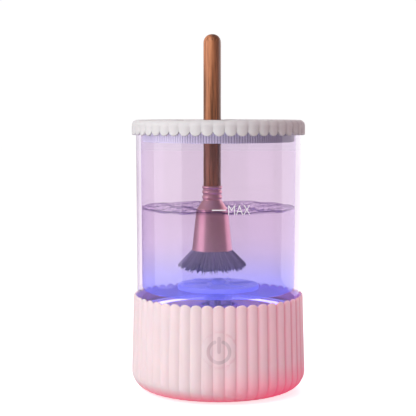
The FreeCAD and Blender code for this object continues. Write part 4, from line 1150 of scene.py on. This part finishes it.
def add_filament(points, faces, rows, phi):
    """A three-sided hair through rows of centres, tapering to its tip."""
    base = len(points)
    last = len(rows) - 1
    for index, (x, y, z) in enumerate(rows):
        r = HAIR_R * (1.0 - HAIR_TAPER * index / last)
        for side in range(3):
            angle = phi + 2 * math.pi * side / 3
            points.append((x + r * math.cos(angle), y + r * math.sin(angle), z))
    for index in range(last):
        a, b = base + 3 * index, base + 3 * index + 3
        for side in range(3):
            k = (side + 1) % 3
            faces.append((a + side, a + k, b + k, b + side))
    faces.append((base, base + 1, base + 2))
    end = base + 3 * last
    faces.append((end + 2, end + 1, end))


# Stage, light and camera ------

FLOOR_HALF = 4
AIM_HEIGHT = 0.09


def camera_sees(tree):
    return node(tree, "ShaderNodeLightPath").outputs["Is Camera Ray"]


def make_floor():
    material, tree = shader("floor_pale")
    tone = blended(tree, noise(tree, 3.0, 2.0), (0.71, 0.70, 0.705), (0.75, 0.74, 0.745))
    principled(tree, {
        "Base Color": tone, "Roughness": 0.7, "Specular IOR Level": 0.2, "Emission Color": (*WHITE, 1.0),
        "Emission Strength": between(tree, camera_sees(tree), 0.0, 0.72)})
    mesh = mesh_from([(FLOOR_HALF * x, FLOOR_HALF * y, 0) for x, y in ((-1, -1), (1, -1), (1, 1), (-1, 1))],
                     [(0, 1, 2, 3)])
    mesh.materials.append(material)
    floor = show(bpy.data.objects.new("floor", mesh))


def make_world():
    """White surroundings to the eye. As a light they fade from white on the left to a dim pink on
    the right, and from the back to the front."""
    world = bpy.data.worlds.new("studio")
    bpy.context.scene.world = world
    world.use_nodes = True
    tree = world.node_tree
    tree.nodes.clear()
    way = node(tree, "ShaderNodeTexCoord").outputs["Generated"]
    split = node(tree, "ShaderNodeSeparateXYZ", {"Vector": way})
    right = ranged(tree, split.outputs["X"], -0.8, 0.9, 0.0, 1.0)
    back = ranged(tree, split.outputs["Y"], -1.0, 0.6, 0.7, 1.15)
    tone = blended(tree, right, (0.55, 0.54, 0.55), (0.37, 0.26, 0.29))
    soft = node(tree, "ShaderNodeBackground", {"Color": tone, "Strength": back})
    white = node(tree, "ShaderNodeBackground", {"Color": (*WHITE, 1.0), "Strength": 1.02})
    mixed = node(tree, "ShaderNodeMixShader", {0: camera_sees(tree), 1: soft.outputs[0],
                                               2: white.outputs[0]})
    node(tree, "ShaderNodeOutputWorld", {"Surface": mixed.outputs[0]})


def softbox(name, azimuth, distance, height, width, tall, watts, colour=WHITE, use="fill", spread=180):
    """An area light at an azimuth from the front, to the right when positive: a fill for diffuse
    light, aimed at the object, or an upright strip that shows in reflections only."""
    light = bpy.data.lights.new(name, "AREA")
    light.spread = math.radians(spread)
    light.shape = "RECTANGLE"
    light.size = width
    light.size_y = tall
    light.energy = watts
    light.color = colour
    item = show(bpy.data.objects.new(name, light))
    angle = math.radians(azimuth)
    item.location = (distance * math.sin(angle), -distance * math.cos(angle), height)
    aim = Vector((0, 0, AIM_HEIGHT if use == "fill" else height)) - item.location
    item.rotation_euler = aim.to_track_quat("-Z", "Y").to_euler()
    item.visible_camera = False
    item.visible_diffuse = use == "fill"
    item.visible_glossy = use != "fill"


def make_lights():
    softbox("key", -38, 0.85, 0.75, 0.8, 0.8, 9.0)
    softbox("left", -80, 0.9, 0.3, 0.7, 0.9, 0.75)
    softbox("right", 80, 1.1, 0.15, 0.6, 0.6, 1.5, (1.0, 0.66, 0.74))
    softbox("back", 172, 0.9, 0.45, 0.25, 0.25, 0.16, spread=28)
    softbox("strip_left", -71, 0.26, 0.145, 0.22, 0.28, 0.28, use="strip")
    softbox("strip_right", 127, 0.26, 0.145, 0.36, 0.28, 0.46, use="strip")


# Fitted to the photo; FOCAL_SHARE is focal length over picture width.
CAMERA_X = -5.55 * MM
CAMERA_DISTANCE = 663 * MM
CAMERA_HEIGHT = 151 * MM
CAMERA_PITCH = 4.53
SENSOR = 36.0
FOCAL_SHARE = 1231 / 416


def make_camera():
    data = bpy.data.cameras.new("camera")
    data.sensor_width = SENSOR
    data.lens = FOCAL_SHARE * SENSOR
    data.clip_start = 0.02
    data.clip_end = 20.0
    camera = show(bpy.data.objects.new("camera", data))
    camera.location = (CAMERA_X, -CAMERA_DISTANCE, CAMERA_HEIGHT)
    camera.rotation_euler = (math.radians(90 - CAMERA_PITCH), 0, 0)
    bpy.context.scene.camera = camera


# Everything ---------

scene = bpy.context.scene
scene.view_settings.view_transform = "Standard"
scene.cycles.transparent_max_bounces = 32
make_camera()
make_world()
make_lights()
make_floor()
dress_cad_nodes()
make_base()
make_button()
make_cup()
make_water()
make_fill_mark()
make_disc()
make_lid()
make_handle()
make_ferrule()
make_bristles()
